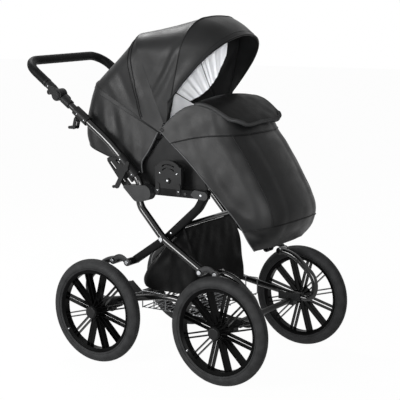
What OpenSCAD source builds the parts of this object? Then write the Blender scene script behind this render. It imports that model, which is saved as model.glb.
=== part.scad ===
// Pram: a pushchair seat unit with a folding hood and a leg apron, on a sprung
// crossed-leg chassis with four large spoked wheels.
// X points forward, Y to the pram's left and Z up. The floor is at Z = 0 and the
// origin lies under the middle of the pram's length and width. All sizes are in mm.

/* [Wheels] */
// Diameter over the tyres
wheel_d = 360; // [330:1:390]
// Width of the tyre
tyre_w = 44; // [38:1:48]
// Height of the tyre above the rim
tyre_h = 36; // [30:1:38]
// Radial depth of the rim
rim_h = 12; // [8:0.5:15]
// Diameter of the hub
hub_d = 48; // [44:1:56]
// Length of the hub along the axle
hub_len = 54; // [46:1:58]
// Number of spokes, each a pair of thin blades
spoke_count = 12; // [8:1:14]
// Distance between the middles of a spoke's two blades
spoke_gap = 14; // [11:0.5:16]
// Thickness of one blade
blade_t = 2.4; // [2:0.2:3.4]
// Depth of a blade along the axle
blade_w = 20; // [14:1:24]
// Distance from an outer leg's middle out to the wheel's middle plane
wheel_side = 61.5; // [58:0.5:70]
// Distance between the two axles
wheelbase = 500; // [480:1:520]

/* [Axles and brake] */
// Diameter of the axle tubes
axle_d = 20; // [18:0.5:22]
// Diameter of the stubs that the wheels turn on
stub_d = 12; // [10:0.5:13]
// Wall of the wheel's bearing sleeve
bearing_t = 3; // [2:0.25:4]
// Diameter of the brake shaft behind the rear axle
brake_shaft_d = 10; // [8:0.5:11]
// Length of the brake pedal
pedal_len = 62; // [50:1:70]

/* [Base frame] */
// Diameter of the bent base rails
base_d = 22; // [20:0.5:24]
// Top of the arched base rail above the axles
arch_h = 66; // [60:1:72]
// Height of the spring tips above the axles
tip_h = 172; // [165:1:178]
// Distance from the axle back to the spring tip
tip_in = 41; // [36:1:46]
// How far the spring curl reaches beyond the axle
curl_out = 86; // [80:1:90]
// Radius of the round eyes at the spring tips and feet
eye_r = 13; // [12:0.5:14]
// Thickness of the suspension straps
strap_t = 8; // [6:0.5:9]
// Distance between a strap's two rivets
strap_span = 61; // [58:1:64]
// How high the strap arches over its rivets
strap_rise = 16; // [12:1:18]

/* [Wire tray] */
// Diameter of the tray's wires
wire_d = 4; // [3:0.25:5]
// Length of the tray
tray_len = 240; // [220:2:260]
// Depth of the tray below the base rails
tray_depth = 56; // [50:1:62]

/* [Basket bag] */
// How far the bag's front swells
bag_front_bulge = 14; // [10:1:18]
// How far the bag's rear swells
bag_rear_bulge = 50; // [40:1:56]

/* [Crossed legs] */
// Distance from the cushions' side out to an outer leg's middle
frame_side = 69; // [66:0.5:75]
// Diameter of the leg tubes
leg_d = 26; // [24:0.5:27]
// Wall of the leg tubes
leg_wall = 1.5; // [1.2:0.1:2.5]
// Gap between the outer and the inner leg where they cross
leg_gap = 2; // [1.5:0.1:3]
// Place of the crossing behind the middle of the wheelbase
cross_back = 7; // [0:1:14]
// Height of the crossing above the axles
cross_h = 266; // [260:1:272]
// Diameter of the crossing bolts
cross_bolt_d = 8; // [6:0.5:9]
// Outer leg from the crossing to the lock housing
leg_run = 147; // [142:1:152]
// Steep stretch of the outer leg inside the lock housing
lock_run = 70; // [66:1:74]
// Outer leg from the lock housing to its upper bend
back_run = 177; // [170:1:184]
// Outer leg from the upper bend to the handle joint
handle_run = 273; // [262:1:284]
// Slope of the outer leg above the crossing
leg_slope = 48; // [46:0.5:50]
// Slope of the outer leg below the handle joint
handle_slope = 35.5; // [34:0.5:37]

/* [Seat rails] */
// Height of the seat rails above the crossing
rail_h = 158; // [154:1:162]
// Height of the rail's section
rail_sec_h = 25; // [22:0.5:27]
// Thickness of the rail and of the seat plate on it
rail_t = 14; // [12:0.5:16]
// Front rail pivot ahead of the crossing
rail_front = 155; // [150:1:160]
// Diameter of the front rail pivots
rail_pin_d = 8; // [6:0.5:9]
// Width of the seat plate
plate_w = 104; // [96:1:110]
// Height of the seat plate above the rail
plate_h = 94; // [88:1:98]
// Width of the seat plate's channel
channel_w = 44; // [40:1:48]
// Depth of the seat plate's channel
channel_deep = 6; // [5:0.5:7]
// Middle of the seat plate ahead of the crossing
plate_ahead = 17; // [12:1:22]

/* [Locks] */
// Diameter of the lock housing's round nose
housing_w = 52; // [48:1:56]
// Width of the slotted lock bracket beside the leg
bracket_w = 50; // [46:1:54]
// Length of the lock lever
lever_len = 74; // [68:1:80]
// Thickness of the lock lever
lever_t = 6; // [5:0.5:7]

/* [Handle] */
// Length of the handle arms from the joint to the crossbar
arm_len = 190; // [180:1:200]
// Slope of the handle arms
arm_slope = 36; // [33:0.5:40]
// Bend radius of the handle
handle_bend = 62; // [56:1:70]
// Diameter of the handle tube
handle_d = 20; // [18:0.5:22]
// Diameter of the grip over the handle tube
grip_d = 32; // [29:0.5:34]
// Radius of the round handle joints
knuckle_r = 21; // [20:0.5:23]
// Thickness of one half of a handle joint
knuckle_t = 18; // [16:0.5:19]
// Hole radius of the strap rings under the handle arms
ring_r = 5.5; // [5:0.5:6]
// Width of the strap rings' metal
ring_w = 4; // [3:0.5:4.5]
// Thickness of the strap rings
ring_t = 6; // [4:0.5:7]
// Travel of the buttons on the handle joints
button_travel = 4; // [3:0.5:5]

/* [Seat unit] */
// Diameter of the seat frame tubes
seat_d = 16; // [14:0.5:17]
// Distance from the cushions' side out to the back cover's outside
cover_side = 42; // [38:0.5:44]
// Thickness of the outer fabric with its padding
fabric_t = 4; // [3:0.5:5]
// Thickness of the boards under the cushions
board_t = 8; // [6:0.5:10]
// Thickness of the seat cushion
seat_pad_t = 34; // [28:1:40]
// Thickness of the back cushion
back_pad_t = 30; // [24:1:36]
// Half width of the cushions
pad_half = 140; // [136:1:142]

/* [Hood] */
// Height of the hood hinge above the seat rail's middle
hood_hinge_h = 202; // [196:1:206]
// Hood hinge behind the seat plate's middle
hood_hinge_back = 20; // [16:1:24]
// Thickness of the hood's flat bows
bow_t = 3.4; // [3:0.1:3.5]
// Width of the hood's flat bows
bow_w = 8; // [7:0.5:9]
// Step in half width from one bow to the next
bow_step = 4; // [3.9:0.1:4.4]
// Distance from the cushions' side out to the front bow's middle
bow_side = 35; // [33:0.5:36]
// Reach of the rear bow from the hinge
rear_bow_reach = 345; // [338:1:350]
// Reach of the middle bow from the hinge
mid_bow_reach = 332; // [326:1:338]
// Reach of the front bow from the hinge
front_bow_reach = 366; // [360:1:372]
// Angle of the rear bow above the forward direction
rear_bow_angle = 155.4; // [154:0.1:158]
// Angle of the middle bow
mid_bow_angle = 112.8; // [110:0.1:116]
// Angle of the front bow
front_bow_angle = 76.4; // [74:0.1:78]
// Corner radius of the rear and middle bows
bow_corner = 58; // [52:1:64]
// Corner radius of the front bow
front_bow_corner = 115; // [105:1:120]
// Thickness of the hood fabric
hood_t = 3; // [2.5:0.25:3.5]
// Reach of the visor's edge ahead of the hood hinge
visor_reach = 206; // [196:1:214]
// Height of the visor's edge above the hood hinge
visor_h = 304; // [298:1:310]

/* [Apron] */
// Thickness of the padded leg apron
apron_t = 6; // [5:0.5:7]
// Distance from the cushions' side out to the apron's rear edges
apron_side = 50; // [48:0.5:54]
// Distance from the cushions' side out to the apron's front part
apron_front_side = 27; // [22:0.5:32]
// Reach of the apron ahead of the hood hinge
apron_reach = 408; // [402:1:414]
// Thickness of the padded flap over the apron's top
flap_t = 8; // [6:0.5:8]

/* [Clearances] */
// Running clearance of pins and shafts
run_gap = 0.05; // [0.02:0.01:0.09]
// Gap between pieces that lie side by side
side_gap = 0.4; // [0.3:0.05:0.6]

/* [Hidden] */
$fn = 48;
axle_z = wheel_d / 2;
axle_x = wheelbase / 2;
rim_r = wheel_d / 2 - tyre_h;
outer_y = pad_half + frame_side;
track = 2 * (outer_y + wheel_side);
cover_half = pad_half + cover_side;
front_bow_half = pad_half + bow_side;
apron_half = pad_half + apron_side;
apron_front_half = pad_half + apron_front_side;
inner_y = outer_y - leg_d - leg_gap;
base_y = (outer_y + inner_y) / 2;
leg_r = leg_d / 2;
inner_d = leg_d - 2 * leg_wall - 2 * run_gap;
pivot = [-cross_back, axle_z + cross_h];
tip = [axle_x - tip_in, axle_z + tip_h];
front_foot = [tip[0] - strap_span, tip[1]];
rear_foot = [-front_foot[0], front_foot[1]];
strap_y = outer_y + leg_r + side_gap;

// Outer leg, from the crossing up to the handle joint
lock_slope = 101;
back_slope = 46;
lock_low = along(pivot, 180 - leg_slope, leg_run);
lock_high = along(lock_low, 180 - lock_slope, lock_run);
upper_bend = along(lock_high, 180 - back_slope, back_run);
knuckle = along(upper_bend, 180 - handle_slope, handle_run);
ring_at = along(on_arm(knuckle_r + 20), 270 - arm_slope, handle_d / 2 + 5 + ring_r);
tube_end = handle_run - 95;
bore_from = 34;
inner_from = 66;
OUTER_PATH = [front_foot, pivot, lock_low, lock_high, upper_bend,
              along(upper_bend, 180 - handle_slope, tube_end)];
OUTER_BENDS = [150, 56, 56, 500];

// Seat rail and inner leg
rail_mid = pivot[1] + rail_h;
rail_in = outer_y - leg_r + 0.5;
rail_out = rail_in + rail_t;
rail_pivot = [pivot[0] + rail_front, rail_mid];
rail_nose = rail_pivot[0] + 26;
inner_bend = [pivot[0] + 0.81 * rail_front, pivot[1] + 0.69 * rail_h];
INNER_PATH = [rail_pivot, inner_bend, pivot, rear_foot];
INNER_BENDS = [80, 150];
housing_mid = (lock_low + lock_high) / 2;
housing_nose = housing_mid + [28, 7];
lever_at = on_back(72, 0);
rail_rear = housing_nose[0] + housing_w / 2 + 4;
plate_x = pivot[0] + plate_ahead;
plate_z = rail_mid + rail_sec_h / 2;
plate_top = plate_z + plate_h;

// Cross tube that carries the bag's front hem
brace_d = 16;
front_brace = mix(pivot, inner_bend, 0.35);

// Base rail with a spring curl at each end
curl_top = [axle_x + 12, tip[1] - 7];
curl_nose = [axle_x + curl_out + 16, axle_z + 82];
curl_low = [axle_x + curl_out, axle_z + 7];
arch_top = [0, axle_z + arch_h];
FRONT_HALF = [tip, curl_top, curl_nose, curl_low];
BASE_PATH = concat(FRONT_HALF, [arch_top], [for (i = [3:-1:0]) [-FRONT_HALF[i][0], FRONT_HALF[i][1]]]);
BASE_BENDS = [120, 66, 36, 300, 36, 66, 120];
bracket_len = 86;
tray_z = arch_top[1];
tray_half = base_y - base_d / 2 - wire_d / 2 - side_gap;
brake_at = [-axle_x - 36, axle_z - 14];

// Seat unit, measured from the hood hinge
hinge = [plate_x - hood_hinge_back, rail_mid + hood_hinge_h];
seat_low = plate_z + 28;
seat_half = pad_half + seat_d / 2 + 4;
recline = [plate_x - 108, seat_low + 22];
back_slope_seat = 20;
back_len = 240;
back_end = along(recline, 180 - back_slope_seat, back_len);
foot_end = [plate_x + 275, seat_low - 100];
knee = [plate_x + 138, seat_low];
side_in = seat_half - 4;
side_out = seat_half + 5;
rear_bow_half = front_bow_half - 2 * bow_step;
mid_bow_half = front_bow_half - bow_step;
hood_skin = bow_t / 2 + 3.5;
pin_r = 4;
tuck = 0.05;
bumper_d = 20;
bumper_at = hinge + [22, -40];
bumper_slope = 20;
bumper_reach = 196;
stud_out = apron_half - apron_t - 3.6;

apron_crown = 10;

// Overall reach, so that the origin lies under the middle of the length
handle_rear = knuckle[0] - arm_len * cos(arm_slope) - grip_d / 2;
apron_front = hinge[0] + apron_reach + apron_crown;
mid_x = (handle_rear + max(apron_front, axle_x + wheel_d / 2)) / 2;

// Functions for points and paths in the side view, as [x, z]
function along(p, angle, length) = p + length * [cos(angle), sin(angle)];
function heading(a, b) = atan2(b[1] - a[1], b[0] - a[0]);
function turned(a, b) = let (t = b - a) t > 180 ? t - 360 : t < -180 ? t + 360 : t;
function turn_at(p, i) = turned(heading(p[i - 1], p[i]), heading(p[i], p[i + 1]));
function cut_at(p, bends, i) =
    i == 0 || i == len(p) - 1 ? 0 : bends[i - 1] * tan(abs(turn_at(p, i)) / 2);
function mix(a, b, t) = a + (b - a) * t;
function flat(rows) = [for (row = rows) for (p = row) p];
BAR_SIDES = 16;

// A point of the outer leg's upper run, u along the tube and v out behind it
function on_back(u, v) = along(along(lock_high, 180 - back_slope, u), 270 - back_slope, v);
function on_handle(u, v) = along(along(upper_bend, 180 - handle_slope, u), 270 - handle_slope, v);

// A band of points round a shape: along one side from a towards b, round the corner, over the
// front and back along the other side. The sides may taper, and bulge in the side view.
function wrap(a, b, foot_half, half, corner, crown, bulge = 0, sides = 4, turns = 4, tops = 6) =
    let (reach = norm(b - a), angle = heading(a, b), straight = half - corner,
         rise = [for (k = [0:sides - 1]) let (t = k / sides)
                 [-mix(foot_half, half, t), mix(0, reach - corner, t)]],
         round = [for (k = [0:turns]) let (f = 90 * k / turns)
                  [-straight - corner * cos(f), reach - corner + corner * sin(f)]],
         over = [for (k = [1:tops - 1]) let (y = mix(-straight, straight, k / tops))
                 [y, reach + crown * (1 - pow(y / straight, 2))]],
         right = concat(rise, round),
         left = [for (k = [len(right) - 1:-1:0]) [-right[k][0], right[k][1]]])
    [for (p = concat(right, over, left))
     let (lift = bulge * sin(180 * min(1, p[1] / reach)),
          q = along(along(a, angle, p[1]), angle + 90, lift))
     [q[0], p[0], q[1]]];

module placed() {
    translate([-mid_x, 0, 0]) children();
}

// Draws in the side view, with y as height, as a slab from y_low to y_high
module slab(y_low, y_high) {
    translate([0, y_high, 0]) rotate([90, 0, 0]) linear_extrude(y_high - y_low) children();
}

// A cylinder along Y at a point of the side view
module across(p, y_low, y_high, r) {
    translate([p[0], y_high, p[1]]) rotate([90, 0, 0]) cylinder(h = y_high - y_low, r = r);
}

// A straight round bar between two points of the side view, at one y
module bar(a, b, y, r) {
    translate([a[0], y, a[1]]) rotate([0, 90 - heading(a, b), 0]) cylinder(h = norm(b - a), r = r);
}

// Points and headings along a path, with every bend rounded in short steps
function path_stops(path, bends, step = 13) = concat(
    [[path[0], heading(path[0], path[1])]],
    [for (i = [1:len(path) - 2])
     let (turn = turn_at(path, i), side = turn > 0 ? 1 : -1, dir = heading(path[i - 1], path[i]),
          start = along(path[i], dir + 180, cut_at(path, bends, i)),
          centre = along(start, dir + 90 * side, bends[i - 1]), parts = ceil(abs(turn) / step))
     for (k = [0:parts]) let (now = dir + turn * k / parts)
     [along(centre, now - 90 * side, bends[i - 1]), now]],
    [[path[len(path) - 1], heading(path[len(path) - 2], path[len(path) - 1])]]);

function ring_at(stop, y, r) =
    [for (k = [0:BAR_SIDES - 1]) let (f = 360 * (k + 0.5) / BAR_SIDES)
     let (q = along(stop[0], stop[1] + 90, r * cos(f))) [q[0], y + r * sin(f), q[1]]];

// Joins rings of points into one closed skin; a loop of rings closes on itself
module skin(rings, loop = false) {
    n = len(rings[0]);
    m = len(rings);
    walls = [for (i = [0:(loop ? m - 1 : m - 2)]) for (j = [0:n - 1])
             let (a = i * n + j, b = i * n + (j + 1) % n,
                  c = ((i + 1) % m) * n + j, d = ((i + 1) % m) * n + (j + 1) % n)
             each [[a, b, d], [a, d, c]]];
    ends = loop ? [] : [[for (j = [n - 1:-1:0]) j], [for (j = [0:n - 1]) (m - 1) * n + j]];
    polyhedron(flat(rings), concat(walls, ends));
}

// A round bar that follows a path in the side view, at one y
module bent_bar(path, bends, y, r) {
    skin([for (stop = path_stops(path, bends)) ring_at(stop, y, r)]);
}

module bent_tube(path, bends, y, r, wall) {
    stops = path_stops(path, bends);
    last = len(stops) - 1;
    skin(concat([for (stop = stops) ring_at(stop, y, r)],
                [for (k = [last:-1:0]) ring_at(stops[k], y, r - wall)]), loop = true);
}

// A bar with round ends in the side view; its straight sides lie a little inside the ends
module stadium(a, b, r) {
    side = along([0, 0], heading(a, b) + 90, r - tuck);
    translate(a) circle(r);
    translate(b) circle(r);
    polygon([a + side, a - side, b - side, b + side]);
}

module both_sides() {
    children();
    mirror([0, 1, 0]) children();
}

// A sheet of even thickness between an outer and an inner grid of points
module sheet(outer, inner) {
    rows = len(outer);
    cols = len(outer[0]);
    n = rows * cols;
    skin = [for (i = [0:rows - 2]) for (j = [0:cols - 2])
            let (a = i * cols + j, b = a + 1, c = a + cols, d = c + 1) each [[a, b, d], [a, d, c]]];
    back = [for (f = skin) [f[0] + n, f[2] + n, f[1] + n]];
    ring = concat([for (j = [0:cols - 1]) j],
                  [for (i = [1:rows - 1]) i * cols + cols - 1],
                  [for (j = [cols - 2:-1:0]) (rows - 1) * cols + j],
                  [for (i = [rows - 2:-1:1]) i * cols]);
    rim = [for (k = [0:len(ring) - 1])
           let (a = ring[k], b = ring[(k + 1) % len(ring)]) each [[b, a, a + n], [b, a + n, b + n]]];
    polyhedron(concat(flat(outer), flat(inner)), concat(skin, back, rim));
}

// Base frame
module base_rails() {
    placed() color("#15161a") both_sides() {
        bent_bar(BASE_PATH, BASE_BENDS, base_y, base_d / 2);
        for (x = [tip[0], -tip[0]]) across([x, tip[1]], base_y - base_d / 2, strap_y - side_gap, eye_r);
    }
}

module axle(x) {
    shoulder = track / 2 - hub_len / 2 - 0.5;
    placed() color("#26272b") {
        across([x, axle_z], -shoulder, shoulder, axle_d / 2);
        across([x, axle_z], -track / 2 - hub_len / 2 - 5, track / 2 + hub_len / 2 + 5, stub_d / 2);
    }
}

module front_axle() { axle(axle_x); }
module rear_axle() {
    axle(-axle_x);
    placed() color("#26272b") both_sides() difference() {
        slab(40, 54) stadium([-axle_x, axle_z], brake_at, axle_d / 2 + 3);
        across([-axle_x, axle_z], 39, 55, axle_d / 2 - 1);
        across(brake_at, 39, 55, brake_shaft_d / 2 + run_gap);
    }
}

module axle_brackets() {
    low = axle_z - axle_d / 2 - 6;
    placed() color("#1b1c20") both_sides() for (x = [axle_x, -axle_x])
        difference() {
            slab(base_y - base_d / 2 - 3, base_y + base_d / 2 + 3) union() {
                translate([x - axle_d / 2 - 7, low]) square([axle_d + 14, axle_z - low + 16]);
                translate([x - bracket_len / 2, axle_z + 2]) square([bracket_len, 26]);
            }
            bent_bar(BASE_PATH, BASE_BENDS, base_y, base_d / 2 + side_gap);
            across([x, axle_z], 0, track / 2, axle_d / 2 + run_gap);
        }
}

module wire_tray() {
    r = wire_d / 2;
    floor_z = tray_z - tray_depth;
    pitch = tray_len / 10;
    placed() color("#2a2b30") {
        for (k = [0:10]) translate([-tray_len / 2 + k * pitch, -tray_half, floor_z])
            rotate([-90, 0, 0]) cylinder(h = 2 * tray_half, r = r, $fn = 8);
        for (k = [-3:3]) translate([-tray_len / 2 - r, k * tray_half / 3.2, floor_z - wire_d * 0.8])
            rotate([0, 90, 0]) cylinder(h = tray_len + wire_d, r = r, $fn = 8);
        both_sides() {
            for (k = [0:2:10]) translate([-tray_len / 2 + k * pitch, tray_half, floor_z - r])
                cylinder(h = tray_depth + r, r = r, $fn = 8);
            translate([-tray_len / 2 - r, tray_half, tray_z])
                rotate([0, 90, 0]) cylinder(h = tray_len + wire_d, r = r, $fn = 8);
        }
    }
}

module brake_bar() {
    r = brake_shaft_d / 2;
    reach = track / 2 - hub_len / 2 - 6;
    placed() color("#55575c") {
        across(brake_at, -reach, reach, r);
        slab(-38, 38) difference() {
            stadium(brake_at, brake_at + pedal_len * [-cos(40), sin(40)], r + 4);
            translate(brake_at + pedal_len * [-cos(40), sin(40)] + [-6, 26]) circle(24);
        }
        both_sides() slab(reach - 8, reach) stadium(brake_at, brake_at + [-2, -18], r + 2);
    }
}

module strap_shape(low, high) {
    arch = [for (k = [0:12]) let (t = k / 12)
            mix(low, high, t) + [0, strap_rise * sin(180 * t)]];
    translate(low) circle(eye_r);
    translate(high) circle(eye_r);
    polygon(concat([for (p = arch) p + [0, eye_r * 0.7]],
                   [for (k = [12:-1:0]) arch[k] - [0, eye_r * 0.7]]));
}

module suspension_straps() {
    placed() color("#3a3c40") both_sides() difference() {
        slab(strap_y, strap_y + strap_t) {
            strap_shape(front_foot, tip);
            strap_shape([-tip[0], tip[1]], rear_foot);
        }
        for (p = [front_foot, rear_foot, tip, [-tip[0], tip[1]]])
            across(p, strap_y - 1, strap_y + strap_t + 1, pin_r + run_gap);
    }
}

// A rivet with its shank and a domed head outside the strap
module rivet(p) {
    across(p, strap_y - side_gap, strap_y + strap_t + 1, pin_r);
    across(p, strap_y + strap_t, strap_y + strap_t + 2, pin_r + 3);
    across(p, strap_y + strap_t + 2, strap_y + strap_t + 3, pin_r + 1);
}

module strap_rivets() {
    placed() color("silver") both_sides() {
        rivet(tip);
        rivet([-tip[0], tip[1]]);
    }
}

// The bag hangs from the front cross tube and the crossing, and widens to its flat base
module basket_bag() {
    low = arch_top[1] + 4;
    front_top = front_brace[1] - brace_d / 2 - side_gap;
    half_low = inner_y - leg_r - 5;
    half_top = half_low - 3;
    function level(t, in) =
        let (front = mix(98, front_brace[0] + 6, t) - in,
             rear = mix(-126, pivot[0] + brace_d / 2 + 6, t) + in,
             half = mix(half_low, half_top, t) - in, corner = 34 * (1 - t) + 8,
             x0 = rear - bag_rear_bulge * sin(180 * pow(t, 0.6)), x1 = front + bag_front_bulge * sin(180 * t))
        [for (c = [[x1, half, 0, front_top], [x0, half, 90, pivot[1]],
                   [x0, -half, 180, pivot[1]], [x1, -half, 270, front_top]])
         for (k = [0:3]) let (a = c[2] + 30 * k,
              cx = c[0] - corner * sign(c[0] - (x0 + x1) / 2), cy = c[1] - corner * sign(c[1]))
         [cx + corner * cos(a), cy + corner * sin(a), mix(low, c[3], t)]];
    steps = 6;
    outer = [for (k = [0:steps]) level(k / steps, 0)];
    inner = [for (k = [0:steps]) [for (p = level(k / steps, fabric_t))
             [p[0], p[1], k == 0 ? p[2] + fabric_t : p[2]]]];
    n = len(outer[0]);
    rings = concat(outer, [for (k = [steps:-1:0]) inner[k]]);
    walls = [for (i = [0:len(rings) - 2]) for (j = [0:n - 1])
             let (a = i * n + j, b = i * n + (j + 1) % n) each [[a, a + n, b + n], [a, b + n, b]]];
    last = (len(rings) - 1) * n;
    placed() color("#2d2e33")
        polyhedron(flat(rings), concat(walls, [[for (j = [0:n - 1]) j]],
                                       [[for (j = [n - 1:-1:0]) last + j]]));
}

// Wheels, each drawn flat with its axle along Z and then stood up on its axle
module on_axle(x, side) {
    placed() translate([x, side * track / 2, axle_z]) rotate([-90 * side, 0, 0]) children();
}

module tyre(x, side) {
    color("#3b3d40") on_axle(x, side) rotate_extrude($fn = 96) difference() {
        translate([wheel_d / 2 - tyre_w / 2, 0]) circle(tyre_w / 2);
        translate([rim_r - tyre_w, -tyre_w]) square([tyre_w, 2 * tyre_w]);
    }
}

// One blade of a spoke, from inside the hub to inside the rim
module blade(angle, aside) {
    function spot(u, w) = along(along([0, 0], angle, u), angle - 90, aside + w * blade_t / 2);
    low = hub_d / 2 - 5;
    high = rim_r - rim_h + 3;
    translate([0, 0, -blade_w / 2]) linear_extrude(blade_w)
        polygon([spot(low, 1), spot(high, 1), spot(high, -1), spot(low, -1)]);
}

module rim(x, side) {
    seat_w = sqrt(pow(tyre_w / 2, 2) - pow(tyre_w / 2 - tyre_h, 2));
    color("#0e0f11") on_axle(x, side) {
        rotate_extrude($fn = 96) polygon([
            [rim_r - run_gap, -seat_w], [rim_r - run_gap, seat_w], [rim_r - 4, seat_w],
            [rim_r - rim_h, seat_w - 5], [rim_r - rim_h, 5 - seat_w], [rim_r - 4, -seat_w]]);
        difference() {
            union() {
                translate([0, 0, -hub_len / 2]) cylinder(h = hub_len, d = hub_d);
                for (k = [0:spoke_count - 1]) for (s = [-1, 1])
                    blade(90 + 360 * (k + 0.5) / spoke_count, s * spoke_gap / 2);
            }
            translate([0, 0, -hub_len]) cylinder(h = 2 * hub_len, r = stub_d / 2 + bearing_t + run_gap);
        }
    }
}

// Hub cap and the bearing sleeve inside the hub
module hub_set(x, side) {
    cap_r = hub_d / 2 - 3;
    color("#17181b") on_axle(x, side) {
        translate([0, 0, hub_len / 2]) difference() {
            rotate_extrude() {
                square([cap_r, 7]);
                square([cap_r - 5, 11]);
                translate([cap_r - 5, 7]) intersection() {
                    circle(4);
                    square(4);
                }
            }
            translate([0, 0, -1]) cylinder(h = 8, r = stub_d / 2 + 2);
        }
        difference() {
            translate([0, 0, -hub_len / 2]) cylinder(h = hub_len - side_gap, r = stub_d / 2 + bearing_t);
            translate([0, 0, -hub_len]) cylinder(h = 2 * hub_len, r = stub_d / 2 + run_gap);
        }
    }
}

module tyre_front_right() { tyre(axle_x, -1); }
module tyre_front_left() { tyre(axle_x, 1); }
module tyre_rear_right() { tyre(-axle_x, -1); }
module tyre_rear_left() { tyre(-axle_x, 1); }
module rim_front_right() { rim(axle_x, -1); }
module rim_front_left() { rim(axle_x, 1); }
module rim_rear_right() { rim(-axle_x, -1); }
module rim_rear_left() { rim(-axle_x, 1); }
module hub_set_front_right() { hub_set(axle_x, -1); }
module hub_set_front_left() { hub_set(axle_x, 1); }
module hub_set_rear_right() { hub_set(-axle_x, -1); }
module hub_set_rear_left() { hub_set(-axle_x, 1); }

// Crossed legs
// Long bolt through all four legs, with a tube between the inner ones
module cross_axle() {
    inside = inner_y - leg_r - side_gap;
    placed() color("silver") {
        across(pivot, -outer_y - leg_r - 4, outer_y + leg_r + 4, cross_bolt_d / 2);
        across(pivot, -inside, inside, brace_d / 2);
        both_sides() {
            across(pivot, outer_y + leg_r + side_gap, outer_y + leg_r + 4, cross_bolt_d / 2 + 3);
            across(pivot, inner_y + leg_r + side_gap, outer_y - leg_r - side_gap, cross_bolt_d / 2 + 3);
        }
    }
}

module outer_legs() {
    placed() color("#101114") both_sides() difference() {
        union() {
            bent_tube(OUTER_PATH, OUTER_BENDS, outer_y, leg_r, leg_wall + 1);
            across(front_foot, outer_y - leg_r, strap_y - side_gap, eye_r);
            across(pivot, outer_y - leg_r + 1, outer_y + leg_r - 1, cross_bolt_d / 2 + 4);
        }
        across(pivot, inner_y, strap_y + strap_t, cross_bolt_d / 2 + run_gap);
        bar(on_handle(bore_from, 0), on_handle(tube_end + 1, 0), outer_y, inner_d / 2 + run_gap);
    }
}

// Outline of the lock's shell: a corner behind the leg and a round nose at the rail
module housing_shape(grow = 0) {
    hull() {
        translate(housing_nose) circle(housing_w / 2 + grow, $fn = 32);
        translate(housing_mid + [0, 2]) circle(housing_w / 2 + 1 + grow, $fn = 32);
        translate(housing_mid + [-52, 22]) circle(6 + grow, $fn = 16);
    }
}

// A rounded shell over the leg's bend
module lock_housings() {
    placed() color("#34363a") both_sides() difference() {
        slab(outer_y - leg_r - 2, outer_y + leg_r + 4) housing_shape();
        bent_bar(OUTER_PATH, OUTER_BENDS, outer_y, leg_r + side_gap);
    }
}

// Sleeve on the leg with a slotted plate behind it
module lock_brackets() {
    r = leg_r + 4;
    sleeve = [31, 122];
    slots = [[104, 138, bracket_w - 21, bracket_w - 13], [108, 126, 5, 12], [24, 52, 13, 23],
             [48, 62, bracket_w - 19, bracket_w - 12]];
    function spot(u, v) = on_back(u, leg_r + v);
    placed() color("#2b2d31") both_sides() difference() {
        union() {
            bar(on_back(sleeve[0], 0), on_back(sleeve[1], 0), outer_y, r);
            slab(outer_y - 4, outer_y + 4) difference() {
                polygon([on_back(sleeve[0], 0), on_back(sleeve[1], 0), spot(132, 6),
                         spot(150, bracket_w - 28), spot(154, bracket_w - 16), spot(146, bracket_w - 10),
                         spot(42, bracket_w), spot(24, bracket_w - 6), spot(30, 4)]);
                housing_shape(1);
                for (w = slots)
                    polygon([spot(w[0], w[2]), spot(w[1], w[2]), spot(w[1], w[3]), spot(w[0], w[3])]);
            }
            across(lever_at, outer_y, outer_y + r, 10);
        }
        bar(on_back(0, 0), on_back(160, 0), outer_y, leg_r + run_gap);
        across(lever_at, outer_y + leg_r + 0.6, outer_y + r + 1, pin_r + run_gap);
    }
}

// The clamp collars close on the inner tubes
module handle_clamps() {
    r = leg_r + 4;
    placed() color("#232428") both_sides() difference() {
        union() {
            bar(on_handle(tube_end - 58, 0), on_handle(tube_end + 8, 0), outer_y, r);
            slab(outer_y - 8, outer_y + 8)
                stadium(on_handle(tube_end - 14, 0), on_handle(tube_end - 14, r + 5), 8);
        }
        bar(on_handle(tube_end - 80, 0), on_handle(tube_end, 0), outer_y, leg_r + run_gap);
        bar(on_handle(tube_end - 80, 0), on_handle(tube_end + 20, 0), outer_y, inner_d / 2 + run_gap);
        across(on_handle(tube_end - 14, r + 5), outer_y - 20, outer_y + 20, pin_r - 1);
    }
}

module foot_rivets() {
    placed() color("silver") both_sides() rivet(front_foot);
}

module lock_lever(side) {
    from = outer_y + leg_r + 4 + side_gap;
    slope = 285 - back_slope;
    end = along(lever_at, slope, lever_len);
    placed() color("#232428") mirror([0, side > 0 ? 0 : 1, 0]) {
        slab(from, from + lever_t) difference() {
            union() {
                stadium(lever_at, end, 8);
                stadium(lever_at, along(lever_at, slope - 180, 20), 7);
                translate(lever_at) circle(12);
                stadium(end, along(end, 190, 14), 5);
            }
            translate(along(end, 130, 20)) circle(9);
        }
        across(lever_at, outer_y + leg_r + 1, from + 1, pin_r);
    }
}

module lock_lever_right() { lock_lever(-1); }
module lock_lever_left() { lock_lever(1); }

module clamp_lever(side) {
    r = leg_r + 4;
    at = on_handle(tube_end - 14, r + 5);
    placed() color("#232428") mirror([0, side > 0 ? 0 : 1, 0]) {
        across(at, outer_y - 12, outer_y + 12, pin_r - 1 - run_gap);
        both_sides_of(outer_y) slab(outer_y + 8 + side_gap, outer_y + 12) {
            stadium(at, along(at, 290 - handle_slope, 30), 6);
            stadium(along(at, 290 - handle_slope, 30), along(at, 262 - handle_slope, 40), 5);
        }
        slab(outer_y - 12, outer_y + 12)
            stadium(along(at, 290 - handle_slope, 30), along(at, 262 - handle_slope, 40), 5);
    }
}

module both_sides_of(y) {
    children();
    translate([0, 2 * y, 0]) mirror([0, 1, 0]) children();
}

module clamp_lever_right() { clamp_lever(-1); }
module clamp_lever_left() { clamp_lever(1); }

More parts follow.
